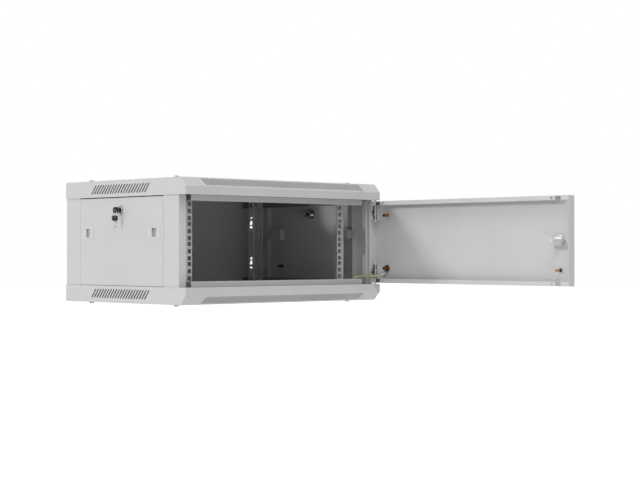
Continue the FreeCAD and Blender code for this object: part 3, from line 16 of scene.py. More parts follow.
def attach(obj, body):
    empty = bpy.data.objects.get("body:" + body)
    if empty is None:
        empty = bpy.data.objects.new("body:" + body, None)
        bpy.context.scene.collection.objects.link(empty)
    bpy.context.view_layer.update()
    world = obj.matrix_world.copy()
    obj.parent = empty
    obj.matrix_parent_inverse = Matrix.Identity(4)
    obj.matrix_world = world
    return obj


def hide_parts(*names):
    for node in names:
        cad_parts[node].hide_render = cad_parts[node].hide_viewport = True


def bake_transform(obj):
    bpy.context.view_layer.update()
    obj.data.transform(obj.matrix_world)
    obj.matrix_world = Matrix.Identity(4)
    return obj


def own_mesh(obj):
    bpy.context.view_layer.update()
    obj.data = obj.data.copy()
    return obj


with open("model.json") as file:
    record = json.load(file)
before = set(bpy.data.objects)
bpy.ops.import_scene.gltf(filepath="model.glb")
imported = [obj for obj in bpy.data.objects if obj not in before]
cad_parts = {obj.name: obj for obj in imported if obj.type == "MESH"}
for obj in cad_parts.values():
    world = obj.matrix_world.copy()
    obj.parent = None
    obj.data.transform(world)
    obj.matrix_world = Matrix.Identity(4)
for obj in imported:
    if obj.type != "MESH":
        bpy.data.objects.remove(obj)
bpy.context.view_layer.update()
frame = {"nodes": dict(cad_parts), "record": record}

# %% [markdown]
# A few sizes place everything else. The middle of the cabinet's height lies seven millimetres above the
# wall holes' centre, because the keyholes hang below it. SIDE, FRONT, REAR, TOP and BOTTOM are the
# cabinet's outer faces. PANEL_SIDE and PANEL_INSIDE are the two faces of a side panel, and DOOR_INSIDE is
# the inner face of the door as it stands open.

# %% Sizes used in several places
MM = 0.001
SHEET = 0.0012
MID = 0.007
HALF_HEIGHT = 0.1395
TOP = MID + HALF_HEIGHT
BOTTOM = MID - HALF_HEIGHT
SIDE = 0.300
FRONT = -0.4485
REAR = 0.0015
PANEL_SIDE = 0.2985
PANEL_INSIDE = 0.2973
DOOR_INSIDE = 0.2988
TOLERANCE = 0.00001
DISC_SIDES, ROD_SIDES, BORE_SIDES, PLUG_SIDES = 72, 32, 40, 56
print("height", round((TOP - BOTTOM) / MM), "mm")

# %% [markdown]
# Operators act on everything that is selected. So each step first clears the selection, and faces, edges
# or points are then picked in code by their place or direction. These helpers do only that.

# %% Selection helpers
def clear():
    if bpy.context.object and bpy.context.object.mode != "OBJECT":
        bpy.ops.object.mode_set(mode="OBJECT")
    bpy.ops.object.select_all(action="DESELECT")


def pick(piece):
    clear()
    piece.select_set(True)
    bpy.context.view_layer.objects.active = piece
    return piece


def edit(piece, kind="FACE"):
    pick(piece)
    bpy.ops.object.mode_set(mode="EDIT")
    bpy.ops.mesh.select_mode(type=kind)
    bpy.ops.mesh.select_all(action="DESELECT")


def done(piece):
    bpy.ops.object.mode_set(mode="OBJECT")
    return piece


def select_faces(piece, test):
    bpy.ops.object.mode_set(mode="OBJECT")
    for face in piece.data.polygons:
        face.select = test(face)
    bpy.ops.object.mode_set(mode="EDIT")


def select_edges(piece, test):
    bpy.ops.object.mode_set(mode="OBJECT")
    places = piece.data.vertices
    for edge in piece.data.edges:
        edge.select = test(places[edge.vertices[0]].co, places[edge.vertices[1]].co)
    bpy.ops.object.mode_set(mode="EDIT")


def select_points(piece, test):
    bpy.ops.object.mode_set(mode="OBJECT")
    for point in piece.data.vertices:
        point.select = test(point.co)
    bpy.ops.object.mode_set(mode="EDIT")


print("picked by", [helper.__name__ for helper in (select_faces, select_edges, select_points)])

# %% [markdown]
# Small parts are modelled upright at the origin and then set down where they belong. Their place is
# applied to their mesh, so every finished piece has its own origin at the model's origin, unturned.

# %% Placing helpers
def settle():
    """Apply the place and size of the piece just added, so its mesh sits where it is seen."""
    bpy.ops.object.transform_apply(location=True, rotation=True, scale=True)
    return bpy.context.object


def set_down(piece, at, along=(0, 0, 1), turn=0.0):
    """Turn a piece that was modelled along +Z to a direction, move it, and apply its place to its mesh."""
    pick(piece)
    aim = Vector((0, 0, 1)).rotation_difference(Vector(along)).to_matrix().to_4x4()
    piece.matrix_world = Matrix.Translation(Vector(at)) @ aim @ Matrix.Rotation(turn, 4, "Z")
    return settle()


def copy_of(piece, name):
    twin = piece.copy()
    twin.data = piece.data.copy()
    twin.name = name
    bpy.context.collection.objects.link(twin)
    return twin


def join(name, pieces):
    clear()
    for piece in pieces:
        piece.select_set(True)
    bpy.context.view_layer.objects.active = pieces[0]
    if len(pieces) > 1:
        bpy.ops.object.join()
    pieces[0].name = name
    return pieces[0]


print("placed by", set_down.__name__)

# %% [markdown]
# Most shapes start as a cylinder or a block along +Z. These helpers bevel it, cut it with another one and
# shade it.

# %% Shaping helpers
def cylinder(radius, low, high, sides=48):
    clear()
    bpy.ops.mesh.primitive_cylinder_add(vertices=sides, radius=radius, depth=high - low,
                                        location=(0, 0, (low + high) / 2))
    return settle()


def block(wide, thick, low, high, turn=0.0):
    clear()
    bpy.ops.mesh.primitive_cube_add(size=1, location=(0, 0, (low + high) / 2), rotation=(0, 0, turn))
    bpy.context.object.scale = (wide, thick, high - low)
    return settle()


def bevel_edges(piece, test, offset, segments=3, profile=0.5):
    """Bevel the edges whose two ends pass a test."""
    edit(piece, "EDGE")
    select_edges(piece, test)
    bpy.ops.mesh.bevel(offset=offset, segments=segments, profile=profile)
    return done(piece)


def round_rim(piece, level, offset, segments=3, profile=0.5):
    """Bevel the edges that lie flat at one level."""
    return bevel_edges(piece, lambda a, b: abs(a.z - level) < TOLERANCE and abs(b.z - level) < TOLERANCE,
                       offset, segments, profile)


def carve(piece, tool, operation="DIFFERENCE"):
    """Cut one closed shape with another, then drop the tool."""
    pick(piece)
    modifier = piece.modifiers.new("carve", "BOOLEAN")
    modifier.operation = operation
    modifier.solver = "EXACT"
    modifier.object = tool
    bpy.ops.object.modifier_apply(modifier=modifier.name)
    bpy.data.objects.remove(tool)
    return piece


def smooth(piece, degrees=35):
    pick(piece)
    bpy.ops.object.shade_smooth_by_angle(angle=math.radians(degrees))
    return piece


print("shaped by", bevel_edges.__name__, "and", carve.__name__)

# %% [markdown]
# Threads, springs and the split ring start as a small profile beside the axis. A Screw modifier winds it
# up the axis. The two open ends are then closed, and all faces are turned outward.

# %% Winding helper
def wind(profile, pitch, turns, steps, merge=0.0, degrees=60):
    """Wind an open profile up the axis, close its two ends and turn its faces outward."""
    winding = profile.modifiers.new("winding", "SCREW")
    winding.axis = "Z"
    winding.screw_offset = pitch
    winding.iterations = turns
    winding.steps = winding.render_steps = steps
    winding.use_merge_vertices = merge > 0
    if merge > 0:
        winding.merge_threshold = merge
    pick(profile)
    bpy.ops.object.modifier_apply(modifier=winding.name)
    edit(profile, "EDGE")
    bpy.ops.mesh.select_all(action="SELECT")
    bpy.ops.mesh.region_to_loop()
    bpy.ops.mesh.fill_holes(sides=0)
    done(profile)
    edit(profile, "VERT")
    bpy.ops.mesh.select_all(action="SELECT")
    bpy.ops.mesh.remove_doubles(threshold=TOLERANCE / 10)
    bpy.ops.mesh.normals_make_consistent(inside=False)
    return smooth(done(profile), degrees)


print("wound by", wind.__name__)

# %% [markdown]
# ## Finishes
#
# Powder coat is baked plastic powder. Up close it has a fine orange peel and a very slight change of
# tone. Plated and moulded parts each have their own grain too, so one shader group makes a soft noise
# that every finish reads at its own scale. The group gives out only values that vary over the surface.

# %% Grain group
def grain_group():
    group = bpy.data.node_groups.new("surface grain", "ShaderNodeTree")
    for name, value in (("Fine scale", 900.0), ("Broad scale", 12.0), ("Stretch", 1.0)):
        socket = group.interface.new_socket(name, in_out="INPUT", socket_type="NodeSocketFloat")
        socket.default_value = value
    for name in ("Fine", "Broad"):
        group.interface.new_socket(name, in_out="OUTPUT", socket_type="NodeSocketFloat")
    nodes, links = group.nodes, group.links
    start, end = nodes.new("NodeGroupInput"), nodes.new("NodeGroupOutput")
    coords = nodes.new("ShaderNodeTexCoord")
    stretch = nodes.new("ShaderNodeCombineXYZ")
    stretch.inputs["X"].default_value = 1.0
    stretch.inputs["Y"].default_value = 1.0
    links.new(start.outputs["Stretch"], stretch.inputs["Z"])
    scaled = nodes.new("ShaderNodeVectorMath")
    scaled.operation = "MULTIPLY"
    links.new(coords.outputs["Object"], scaled.inputs[0])
    links.new(stretch.outputs["Vector"], scaled.inputs[1])
    for name, detail in (("Fine", 2.0), ("Broad", 3.0)):
        noise = nodes.new("ShaderNodeTexNoise")
        noise.inputs["Detail"].default_value = detail
        links.new(scaled.outputs["Vector"], noise.inputs["Vector"])
        links.new(start.outputs[f"{name} scale"], noise.inputs["Scale"])
        links.new(noise.outputs["Fac"], end.inputs[name])
    return group


GRAIN = grain_group()
print("group", GRAIN.name)

# %% [markdown]
# Each finish is a Principled shader of its own. Its colour swings with the broad noise between a light
# and a dark tone, its roughness swings with the fine noise, and the fine noise gives the bump. The plain
# numbers sit on the shader's own sockets. A finish can then be tinted: its colour is mixed towards
# another one.

# %% Finish helpers
TONE_FROM, TONE_TO = 0.3, 0.7
PEEL_DEPTH = 0.00002


def grey(value):
    return (value, value, value)


def finish(name, light, dark, rough, metal=0.0, fine=900.0, broad=12.0, stretch=1.0):
    material = bpy.data.materials.new(name)
    material.use_nodes = True
    nodes, links = material.node_tree.nodes, material.node_tree.links
    shader = nodes["Principled BSDF"]
    shader.inputs["Metallic"].default_value = metal
    grain = nodes.new("ShaderNodeGroup")
    grain.node_tree = GRAIN
    grain.inputs["Fine scale"].default_value = fine
    grain.inputs["Broad scale"].default_value = broad
    grain.inputs["Stretch"].default_value = stretch
    tone = nodes.new("ShaderNodeValToRGB")
    for element, place, colour in zip(tone.color_ramp.elements, (TONE_FROM, TONE_TO), (dark, light)):
        element.position = place
        element.color = (*colour, 1)
    links.new(grain.outputs["Broad"], tone.inputs["Fac"])
    links.new(tone.outputs["Color"], shader.inputs["Base Color"])
    spread = nodes.new("ShaderNodeMapRange")
    spread.inputs["To Min"].default_value = rough[0]
    spread.inputs["To Max"].default_value = rough[1]
    links.new(grain.outputs["Fine"], spread.inputs["Value"])
    links.new(spread.outputs["Result"], shader.inputs["Roughness"])
    relief = nodes.new("ShaderNodeBump")
    relief.inputs["Strength"].default_value = 1.0
    relief.inputs["Distance"].default_value = PEEL_DEPTH
    links.new(grain.outputs["Fine"], relief.inputs["Height"])
    links.new(relief.outputs["Normal"], shader.inputs["Normal"])
    return material


def tint(material, factor, colour):
    """Mix a finish's colour towards another one, as far as the factor goes from 0 to 1."""
    nodes, links = material.node_tree.nodes, material.node_tree.links
    base = nodes["Principled BSDF"].inputs["Base Color"]
    mix = nodes.new("ShaderNodeMix")
    mix.data_type = "RGBA"
    links.new(factor, mix.inputs["Factor"])
    links.new(base.links[0].from_socket, mix.inputs["A"])
    mix.inputs["B"].default_value = (*colour, 1)
    links.new(mix.outputs["Result"], base)
    return material


print("tones mix from", TONE_FROM, "to", TONE_TO)

# %% [markdown]
# Each row gives a name, the light and the dark tone, and the range of roughness. After these come how
# metallic the finish is, the scales of its fine and its broad grain, and how far the grain is stretched.

# %% Finishes
POWDER_LOOK = (grey(0.535), grey(0.515), (0.42, 0.50))
POWDER = finish("light grey powder coat", *POWDER_LOOK)
GALVANISED = finish("plated steel", grey(0.66), grey(0.50), (0.24, 0.38), 1.0, 1500, 90, 0.3)
SCREW_ZINC = finish("passivated screw steel", grey(0.36), grey(0.24), (0.24, 0.38), 0.9, 1500, 200)
CHROME = finish("polished lock plating", (0.34, 0.34, 0.35), (0.25, 0.25, 0.26), (0.08, 0.16), 1.0, 2500, 60)
PLAIN_NICKEL = finish("dull nickel plating", grey(0.53), grey(0.50), (0.42, 0.52), 0.1, 2500, 60)
NICKEL = finish("satin nickel plating", grey(0.60), grey(0.54), (0.30, 0.42), 0.35, 2500, 60)
COPPERED = finish("coppered steel", (0.34, 0.14, 0.045), (0.060, 0.022, 0.008), (0.26, 0.44), 0.9, 2000, 500)
# Dark stud steel: the own colour of the panel studs and lock plugs, and painted shade on the hinge springs.
DARK_STEEL_AND_SHADE = finish("dark stud steel and painted shade", (0.060, 0.056, 0.052), (0.022, 0.020, 0.019), (0.30, 0.45), 1.0, 2000, 330)
LATCH = finish("grey moulded latch", grey(0.56), grey(0.53), (0.40, 0.50), 0.0, 2400, 60)
KEY_HEAD = finish("black key plastic", (0.022, 0.022, 0.023), grey(0.012), (0.32, 0.45), 0.0, 3000, 150)
print("finishes", len(bpy.data.materials))

# %% [markdown]
# The sheath of an earth lead is yellow with a green stripe along it. The stripe follows the curve's own
# UV map, whose second coordinate runs once round the section, so it stays with the lead round every bend.
# The coordinate is shifted, folded into two halves and compared with a limit.

# %% Lead finish
SHEATH_LIGHT, SHEATH_DARK = (0.56, 0.54, 0.24), (0.50, 0.48, 0.21)
STRIPE_COLOUR = (0.20, 0.36, 0.12)
STRIPE_STEPS = (("ADD", 0.28), ("PINGPONG", 0.5), ("GREATER_THAN", 0.32))


def lead_finish():
    material = finish("striped lead sheath", SHEATH_LIGHT, SHEATH_DARK, (0.35, 0.48), 0.0, 2400, 80)
    nodes, links = material.node_tree.nodes, material.node_tree.links
    coords = nodes.new("ShaderNodeTexCoord")
    split = nodes.new("ShaderNodeSeparateXYZ")
    links.new(coords.outputs["UV"], split.inputs["Vector"])
    value = split.outputs["Y"]
    for operation, number in STRIPE_STEPS:
        step = nodes.new("ShaderNodeMath")
        step.operation = operation
        step.inputs[1].default_value = number
        links.new(value, step.inputs[0])
        value = step.outputs["Value"]
    return tint(material, value, STRIPE_COLOUR)


SHEATH = lead_finish()
print("lead finish", SHEATH.name)

# %% [markdown]
# The copper-plated studs at the hinge are bright at the foot and painted dark at the end, a painted shade on
# the tip. The brassy one at the door's free edge is painted dark at its foot instead, a painted shade where
# it meets the door, and the carriers under the covers are painted dark behind their front ends, a painted
# shade under the covers. Such a change reads one axis of the Object coordinates, from the place that is dark
# to the clear one.

# %% Painted shade along one axis
STUD_REACH = 0.016
DARK_TIP = (DOOR_INSIDE - STUD_REACH + 0.003, DOOR_INSIDE - 0.006)
DARK_FOOT = (DOOR_INSIDE - 0.004, DOOR_INSIDE - 0.009)
DARK_BEHIND = (-0.345, -0.385)
# Colours of painted shade: on the copper stud tips, on the brassy stud's foot and on the carriers behind
# their front ends.
COPPER_TIP_SHADE, BRASS_FOOT_SHADE, CARRIER_SHADE = (0.02, 0.012, 0.008), (0.03, 0.02, 0.01), grey(0.16)


def darken(material, axis, dark_and_clear, dark):
    nodes, links = material.node_tree.nodes, material.node_tree.links
    coords = nodes.new("ShaderNodeTexCoord")
    split = nodes.new("ShaderNodeSeparateXYZ")
    links.new(coords.outputs["Object"], split.inputs["Vector"])
    along = nodes.new("ShaderNodeMapRange")
    along.inputs["From Min"].default_value, along.inputs["From Max"].default_value = dark_and_clear
    along.inputs["To Min"].default_value, along.inputs["To Max"].default_value = 1.0, 0.0
    links.new(split.outputs[axis], along.inputs["Value"])
    return tint(material, along.outputs["Result"], dark)


DOOR_STUD_FINISH = darken(
    finish("copper stud with painted shade at the tip", (0.36, 0.15, 0.05), (0.16, 0.06, 0.02), (0.26, 0.44), 0.9, 2000, 500),
    "X", DARK_TIP, COPPER_TIP_SHADE)
EDGE_STUD_FINISH = darken(
    finish("brassy stud", (0.40, 0.28, 0.13), (0.22, 0.15, 0.07), (0.30, 0.45), 0.7, 2000, 500),
    "X", DARK_FOOT, BRASS_FOOT_SHADE)
# The carriers get painted shade: they are painted dark behind their front ends, where they lie in shadow
# under the covers.
CARRIER_SHADED_COAT = darken(
    finish("carrier coat with painted shade", grey(0.535), grey(0.515), (0.46, 0.54)),
    "Y", DARK_BEHIND, CARRIER_SHADE)
print("finishes", DOOR_STUD_FINISH.name, "and", CARRIER_SHADED_COAT.name)

# %% [markdown]
# The two covers get painted shade: they are painted darker inside than outside, and darkest on the cut walls
# of their vents, so that the vent slots look dark as if in shadow. Which of the three a surface is can be
# read from its place and its normal. The place is measured from the cabinet's middle in half widths, half
# depths and half heights. Its product with the normal is 1 or more on an outer face and about -1 on an inner
# one, and a vent's wall lies between. The normal is the world's, so this suits only pieces that never turn.

# %% Cover finish with painted shade
FACE_LIMIT = 0.97
# Greys of the painted shade: on the vent walls, inside the top cover and inside the bottom cover.
VENT_WALL_SHADE, TOP_INSIDE_SHADE, BOTTOM_INSIDE_SHADE = 0.18, 0.26, 0.48


def cover_coat(name, inner):
    material = finish(name, *POWDER_LOOK)
    nodes, links = material.node_tree.nodes, material.node_tree.links
    coords = nodes.new("ShaderNodeTexCoord")
    middle = nodes.new("ShaderNodeVectorMath")
    middle.operation = "SUBTRACT"
    middle.inputs[1].default_value = (0, (FRONT + REAR) / 2, MID)
    links.new(coords.outputs["Object"], middle.inputs[0])
    place = nodes.new("ShaderNodeVectorMath")
    place.operation = "DIVIDE"
    place.inputs[1].default_value = (SIDE, (REAR - FRONT) / 2, (TOP - BOTTOM) / 2)
    links.new(middle.outputs["Vector"], place.inputs[0])
    facing = nodes.new("ShaderNodeNewGeometry")
    away = nodes.new("ShaderNodeVectorMath")
    away.operation = "DOT_PRODUCT"
    links.new(place.outputs["Vector"], away.inputs[0])
    links.new(facing.outputs["True Normal"], away.inputs[1])
    for limit, tone in ((FACE_LIMIT, VENT_WALL_SHADE), (-FACE_LIMIT, inner)):
        below = nodes.new("ShaderNodeMath")
        below.operation = "LESS_THAN"
        below.inputs[1].default_value = limit
        links.new(away.outputs["Value"], below.inputs[0])
        tint(material, below.outputs["Value"], grey(tone))
    return material


TOP_COAT = cover_coat("top coat with painted shade", TOP_INSIDE_SHADE)
BOTTOM_COAT = cover_coat("bottom coat with painted shade", BOTTOM_INSIDE_SHADE)
print("cover finishes", TOP_COAT.name, "and", BOTTOM_COAT.name)

# %% [markdown]
# ## Finishes for the imported pieces
#
# Every imported piece keeps its shape. It gets the finish of its material slot, unless it has one of its own.
# A piece that is modelled here stands in for its imported node: it rides on the same body and, if nothing
# else is said, takes the finish of that node.

# %% Paint the imported pieces
FINISHES = {
    "cabinet_paint": POWDER,
    "zinc": GALVANISED,
    "copper_steel": COPPERED,
    "latch_plastic": LATCH,
    "key_plastic": KEY_HEAD,
    "lock_chrome": CHROME,
    "lead_sheath": SHEATH,
}
OWN_FINISHES = {
    "top_cover": TOP_COAT,
    "bottom_cover": BOTTOM_COAT,
    "entry_covers": BOTTOM_COAT,
    "door_lock_cam": PLAIN_NICKEL,
    "left_lock_plug": DARK_STEEL_AND_SHADE,
    "right_lock_plug": DARK_STEEL_AND_SHADE,
}
for node in ("door_lock_nut", "door_lock_barrel", "door_lock_plug", "door_lug", "frame_lug"):
    OWN_FINISHES[node] = NICKEL
for node in ("top_left_carrier", "top_right_carrier", "bottom_left_carrier", "bottom_right_carrier"):
    OWN_FINISHES[node] = CARRIER_SHADED_COAT
SLOTS = {part["node"]: part["material_slot"] for part in frame["record"]["subparts"]}
FINISH_OF = {node: OWN_FINISHES.get(node, FINISHES[slot]) for node, slot in SLOTS.items()}


def paint(piece, material):
    piece.data.materials.clear()
    piece.data.materials.append(material)
    return piece


def stand_in(piece, node, body, material=None):
    paint(piece, material or FINISH_OF[node])
    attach(piece, body)
    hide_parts(node)
    return piece


for node, material in FINISH_OF.items():
    paint(frame["nodes"][node], material)
print("painted", len(FINISH_OF), "pieces,", len(OWN_FINISHES), "with a finish of their own")

# %% [markdown]
# ## Screws
#
# The covers are held by pan head screws with a cross recess. One head is modelled: a short cylinder, its
# upper rim bevelled into a dome, and a cross cut into it by a tool of two tapered blocks. Each seat gets
# a copy, turned a little further than the last one, as real screws end up.

# %% Pan head screw
DOME_SHARE, DOME_STEPS, DOME_PROFILE = 0.62, 7, 0.6
CROSS_WIDE, CROSS_THICK, CROSS_DEEP, CROSS_TAPER = 1.15, 0.22, 0.55, 0.45
SCREW_TURN = 0.35
DOWNWARD = -0.9


def cross_tool(width, thickness, depth, height):
    blades = []
    for turn in (0, math.pi / 2):
        blade = block(width, thickness, height - depth, height + MM, turn)
        edit(blade)
        select_faces(blade, lambda face: face.normal.z < DOWNWARD)
        bpy.ops.transform.resize(value=(CROSS_TAPER, CROSS_TAPER, 1), center_override=(0, 0, 0))
        blades.append(done(blade))
    return carve(blades[0], blades[1], "UNION")


def pan_screw(name, radius, height, shank, length):
    head = cylinder(radius, 0, height)
    round_rim(head, height, height * DOME_SHARE, DOME_STEPS, DOME_PROFILE)
    carve(head, cross_tool(radius * CROSS_WIDE, radius * CROSS_THICK, height * CROSS_DEEP, height))
    stem = cylinder(shank, -length, 0, ROD_SIDES)
    round_rim(stem, -length, shank / 4, 2)
    return smooth(join(name, [head, stem]))


def fastener_set(name, node, body, model, seats, material=None):
    """Copies of one fastener at each seat, joined as one piece that stands in for its node."""
    copies = [set_down(copy_of(model, f"{name}.{index}"), at, along, SCREW_TURN * index)
              for index, (at, along) in enumerate(seats)]
    return stand_in(join(name, copies), node, body, material)


def cover_seats(across, depths):
    """Seats on the top and the bottom, each with the direction its head faces."""
    return [((hand * across, depth, level), (0, 0, 1 if level > 0 else -1))
            for level in (TOP, BOTTOM) for hand in (-1, 1) for depth in depths]


cover_screw = pan_screw("cover screw", radius=0.006, height=0.005, shank=0.003, length=0.012)
seats = cover_seats(across=0.264, depths=(-0.3715, -0.0525))
fastener_set("cover_screws_shown", "cover_screws", "cabinet", cover_screw, seats, SCREW_ZINC)
bpy.data.objects.remove(cover_screw)
print("cover screws", len(seats))

# %% [markdown]
# Smaller screws of the same pattern hold the cable entry covers.

# %% Entry cover screws
entry_screw = pan_screw("entry screw", radius=0.0045, height=0.0026, shank=0.002, length=0.008)
seats = cover_seats(across=0.127, depths=(-0.0765,))
fastener_set("entry_screws_shown", "entry_cover_screws", "cabinet", entry_screw, seats)
bpy.data.objects.remove(entry_screw)
print("entry screws", len(seats))

# %% [markdown]
# ## Threads
#
# A welded stud is a plain thread. Its profile is one V, as long as the pitch, and the Screw modifier
# winds it up the axis. The open ends are then closed and a thin flange added at the foot.

# %% Threaded stud
STUD_RADIUS, PITCH = 0.003, 0.001
FOOT_RADIUS, FOOT_THICK, FOOT_ROUND = 0.0045, 0.001, 0.0004
THREAD_STEPS = 28


def thread(name, radius, length, pitch):
    """One upright edge of a plane, its middle drawn out to the crest, wound up the axis."""
    depth = pitch / 2
    near = pitch / 10
    foot = radius - depth
    clear()
    bpy.ops.mesh.primitive_plane_add(size=pitch, location=(foot - pitch / 2, 0, pitch / 2),
                                     rotation=(math.pi / 2, 0, 0))
    profile = settle()
    profile.name = name
    edit(profile, "EDGE")
    select_edges(profile, lambda a, b: min(a.x, b.x) > foot - near)
    bpy.ops.mesh.select_all(action="INVERT")
    bpy.ops.mesh.delete(type="EDGE")
    bpy.ops.mesh.select_all(action="SELECT")
    bpy.ops.mesh.subdivide(number_cuts=1)
    done(profile)
    edit(profile, "VERT")
    select_points(profile, lambda at: abs(at.z - pitch / 2) < near)
    bpy.ops.transform.translate(value=(depth, 0, 0))
    done(profile)
    return wind(profile, pitch, round(length / pitch) - 1, THREAD_STEPS, merge=pitch / 100, degrees=40)


def stud(name):
    rod = thread(name, STUD_RADIUS, STUD_REACH, PITCH)
    flange = cylinder(FOOT_RADIUS, 0, FOOT_THICK)
    round_rim(flange, FOOT_THICK, FOOT_ROUND)
    return join(name, [rod, smooth(flange)])


model = stud("stud")
print("stud", [round(size / MM, 1) for size in model.dimensions])

# %% [markdown]
# The door has two coppered studs one above the other at the hinge and a brassy one at its free edge. Each
# side panel has one, and the frame has one for its end of the earth lead.

# %% Stud seats
DOOR_STUD = Vector((DOOR_INSIDE, -0.4751, MID - 0.0635))
UPPER_STUD = DOOR_STUD + Vector((0, 0, 0.127))
EDGE_STUD = DOOR_STUD - Vector((0, 0.5195, 0))
FRAME_STUD = Vector((0.248, -0.399, MID - 0.118))
PANEL_STUD = Vector((PANEL_INSIDE, -0.101, MID - 0.060))
LEFT_PANEL_STUD = PANEL_STUD * Vector((-1, 1, 1))
TO_LEFT, TO_RIGHT = (-1, 0, 0), (1, 0, 0)
STUD_SETS = (
    ("door_studs", "door_studs", "door", DOOR_STUD_FINISH, [(DOOR_STUD, TO_LEFT), (UPPER_STUD, TO_LEFT)]),
    ("left_panel_stud", "left_panel_stud", "left_side", DARK_STEEL_AND_SHADE, [(LEFT_PANEL_STUD, TO_RIGHT)]),
    ("right_panel_stud", "right_panel_stud", "right_side", DARK_STEEL_AND_SHADE, [(PANEL_STUD, TO_LEFT)]),
    ("frame_stud", "frame_stud", "cabinet", COPPERED, [(FRAME_STUD, TO_RIGHT)]),
    ("door_edge_stud", "door_studs", "door", EDGE_STUD_FINISH, [(EDGE_STUD, TO_LEFT)]),
)
for name, node, body, material, seats in STUD_SETS:
    fastener_set(f"{name}_shown", node, body, model, seats, material)
bpy.data.objects.remove(model)
print("studs", sum(len(seats) for *_, seats in STUD_SETS))

# %% [markdown]
# ## Nuts
#
# A hexagon nut is a six-sided prism turned in a lathe, so its corners are rounded by a cone. Here the
# prism is crossed with a bevelled cylinder, which leaves exactly those curved corners, and the hole is
# cut last.

# %% Hexagon nut
LATHE_PLAY = 0.00002
CORNER_SHARE = 0.8


def hex_nut(name, flats, height, hole):
    corner = flats / math.sqrt(3)
    nut = cylinder(corner, 0, height, 6)
    nut.name = name
    turned = cylinder(corner + LATHE_PLAY, 0, height, DISC_SIDES)
    for level in (0, height):
        round_rim(turned, level, (corner - flats / 2) * CORNER_SHARE, 2)
    carve(nut, turned, "INTERSECT")
    carve(nut, cylinder(hole, -height, 2 * height, BORE_SIDES))
    return smooth(nut)


print("share of a corner that is rounded", CORNER_SHARE)

# %% [markdown]
# Each nut of the earth lead clamps a ring terminal, so it stands off its sheet. The door's also has a
# washer.

# %% Stud nuts
NUT_HIGH, NUT_HOLE = 0.005, 0.0031
WASHER_RADIUS, WASHER_THICK, WASHER_ROUND = 0.008, 0.0012, 0.0003
DOOR_NUT_OFF, FRAME_NUT_OFF = Vector((0.003, 0, 0)), Vector((0.0018, 0, 0))
nut = hex_nut("nut", flats=0.010, height=NUT_HIGH, hole=NUT_HOLE)
washer = cylinder(WASHER_RADIUS, -WASHER_THICK, 0, DISC_SIDES)
for level in (-WASHER_THICK, 0):
    round_rim(washer, level, WASHER_ROUND, 2)
carve(washer, cylinder(NUT_HOLE, -NUT_HIGH, NUT_HIGH, BORE_SIDES))
door_nut = join("door_stud_nut_shown", [copy_of(nut, "door nut"), smooth(washer)])
set_down(door_nut, DOOR_STUD - DOOR_NUT_OFF, TO_LEFT)
frame_nut = set_down(copy_of(nut, "frame_stud_nut_shown"), FRAME_STUD + FRAME_NUT_OFF, TO_RIGHT)
stand_in(door_nut, "door_stud_nut", "door", COPPERED)
stand_in(frame_nut, "frame_stud_nut", "cabinet")
bpy.data.objects.remove(nut)
print("nuts", 2)

# %% [markdown]
# ## Lock barrels
#
# A cam lock's barrel is a threaded tube with a flange outside the sheet, and a big thin nut clamps it
# from inside. The flange is a disc whose rim is rolled over, with a shallow dish for the key plug.

# %% Lock barrels
LOCK = Vector((PANEL_SIDE, -0.2115, MID + 0.0705))
LEFT_LOCK = LOCK * Vector((-1, 1, 1))
DOOR_LOCK = Vector((SIDE, -0.9936, MID))
LOCK_FLANGE, FLANGE_THICK, FLANGE_ROLL = 0.010, 0.003, 0.0022
TRUNK_RADIUS, PLUG_BORE, THROUGH = 0.0092, 0.00606, 0.05
PANEL_TRUNK, DOOR_TRUNK = 0.013, 0.0283
DISH_FOOT, DISH_MOUTH, DISH_DEEP, DISH_MIDDLE = 0.006, 0.0078, 0.0012, 0.0026


def lock_barrel(name, length):
    """Flange on the outside, above z 0, and a threaded trunk below it."""
    flange = cylinder(LOCK_FLANGE, 0, FLANGE_THICK, DISC_SIDES)
    round_rim(flange, FLANGE_THICK, FLANGE_ROLL, 8)
    trunk = thread(name, TRUNK_RADIUS, length + PITCH, PITCH)
    set_down(trunk, (0, 0, PITCH), (0, 0, -1))
    carve(flange, trunk, "UNION")
    carve(flange, cylinder(PLUG_BORE, -THROUGH, THROUGH, PLUG_SIDES))
    clear()
    bpy.ops.mesh.primitive_cone_add(vertices=PLUG_SIDES, radius1=DISH_FOOT, radius2=DISH_MOUTH,
                                    depth=DISH_DEEP, location=(0, 0, DISH_MIDDLE))
    carve(flange, settle())
    flange.name = name
    return smooth(flange)


BARRELS = {
    "left_lock": (LEFT_LOCK, TO_LEFT, PANEL_TRUNK, "left_side"),
    "right_lock": (LOCK, TO_RIGHT, PANEL_TRUNK, "right_side"),
    "door_lock": (DOOR_LOCK, TO_RIGHT, DOOR_TRUNK, "door"),
}
for lock, (at, along, length, body) in BARRELS.items():
    barrel = lock_barrel(f"{lock}_barrel_shown", length)
    stand_in(set_down(barrel, at, along), f"{lock}_barrel", body)
print("barrels", len(BARRELS))

# %% Lock nuts
big_nut = hex_nut("lock nut", flats=0.024, height=0.004, hole=0.00926)
for lock, (at, along, _, body) in BARRELS.items():
    inward = -Vector(along)
    nut = set_down(copy_of(big_nut, f"{lock}_nut_shown"), at + inward * SHEET, inward)
    stand_in(nut, f"{lock}_nut", body)
bpy.data.objects.remove(big_nut)
print("lock nuts", len(BARRELS))

# %% [markdown]
# ## Hinge springs
#
# Each hinge pin is pushed out by a coil spring. A small circle, off the axis, is wound up by the Screw
# modifier. When the pin is drawn back the coil shortens.

# %% Coil springs
PIN = (0.2918, -0.4403)
SPRING_FOOT = 0.054
WIRE_SIDES, COIL_STEPS = 12, 32


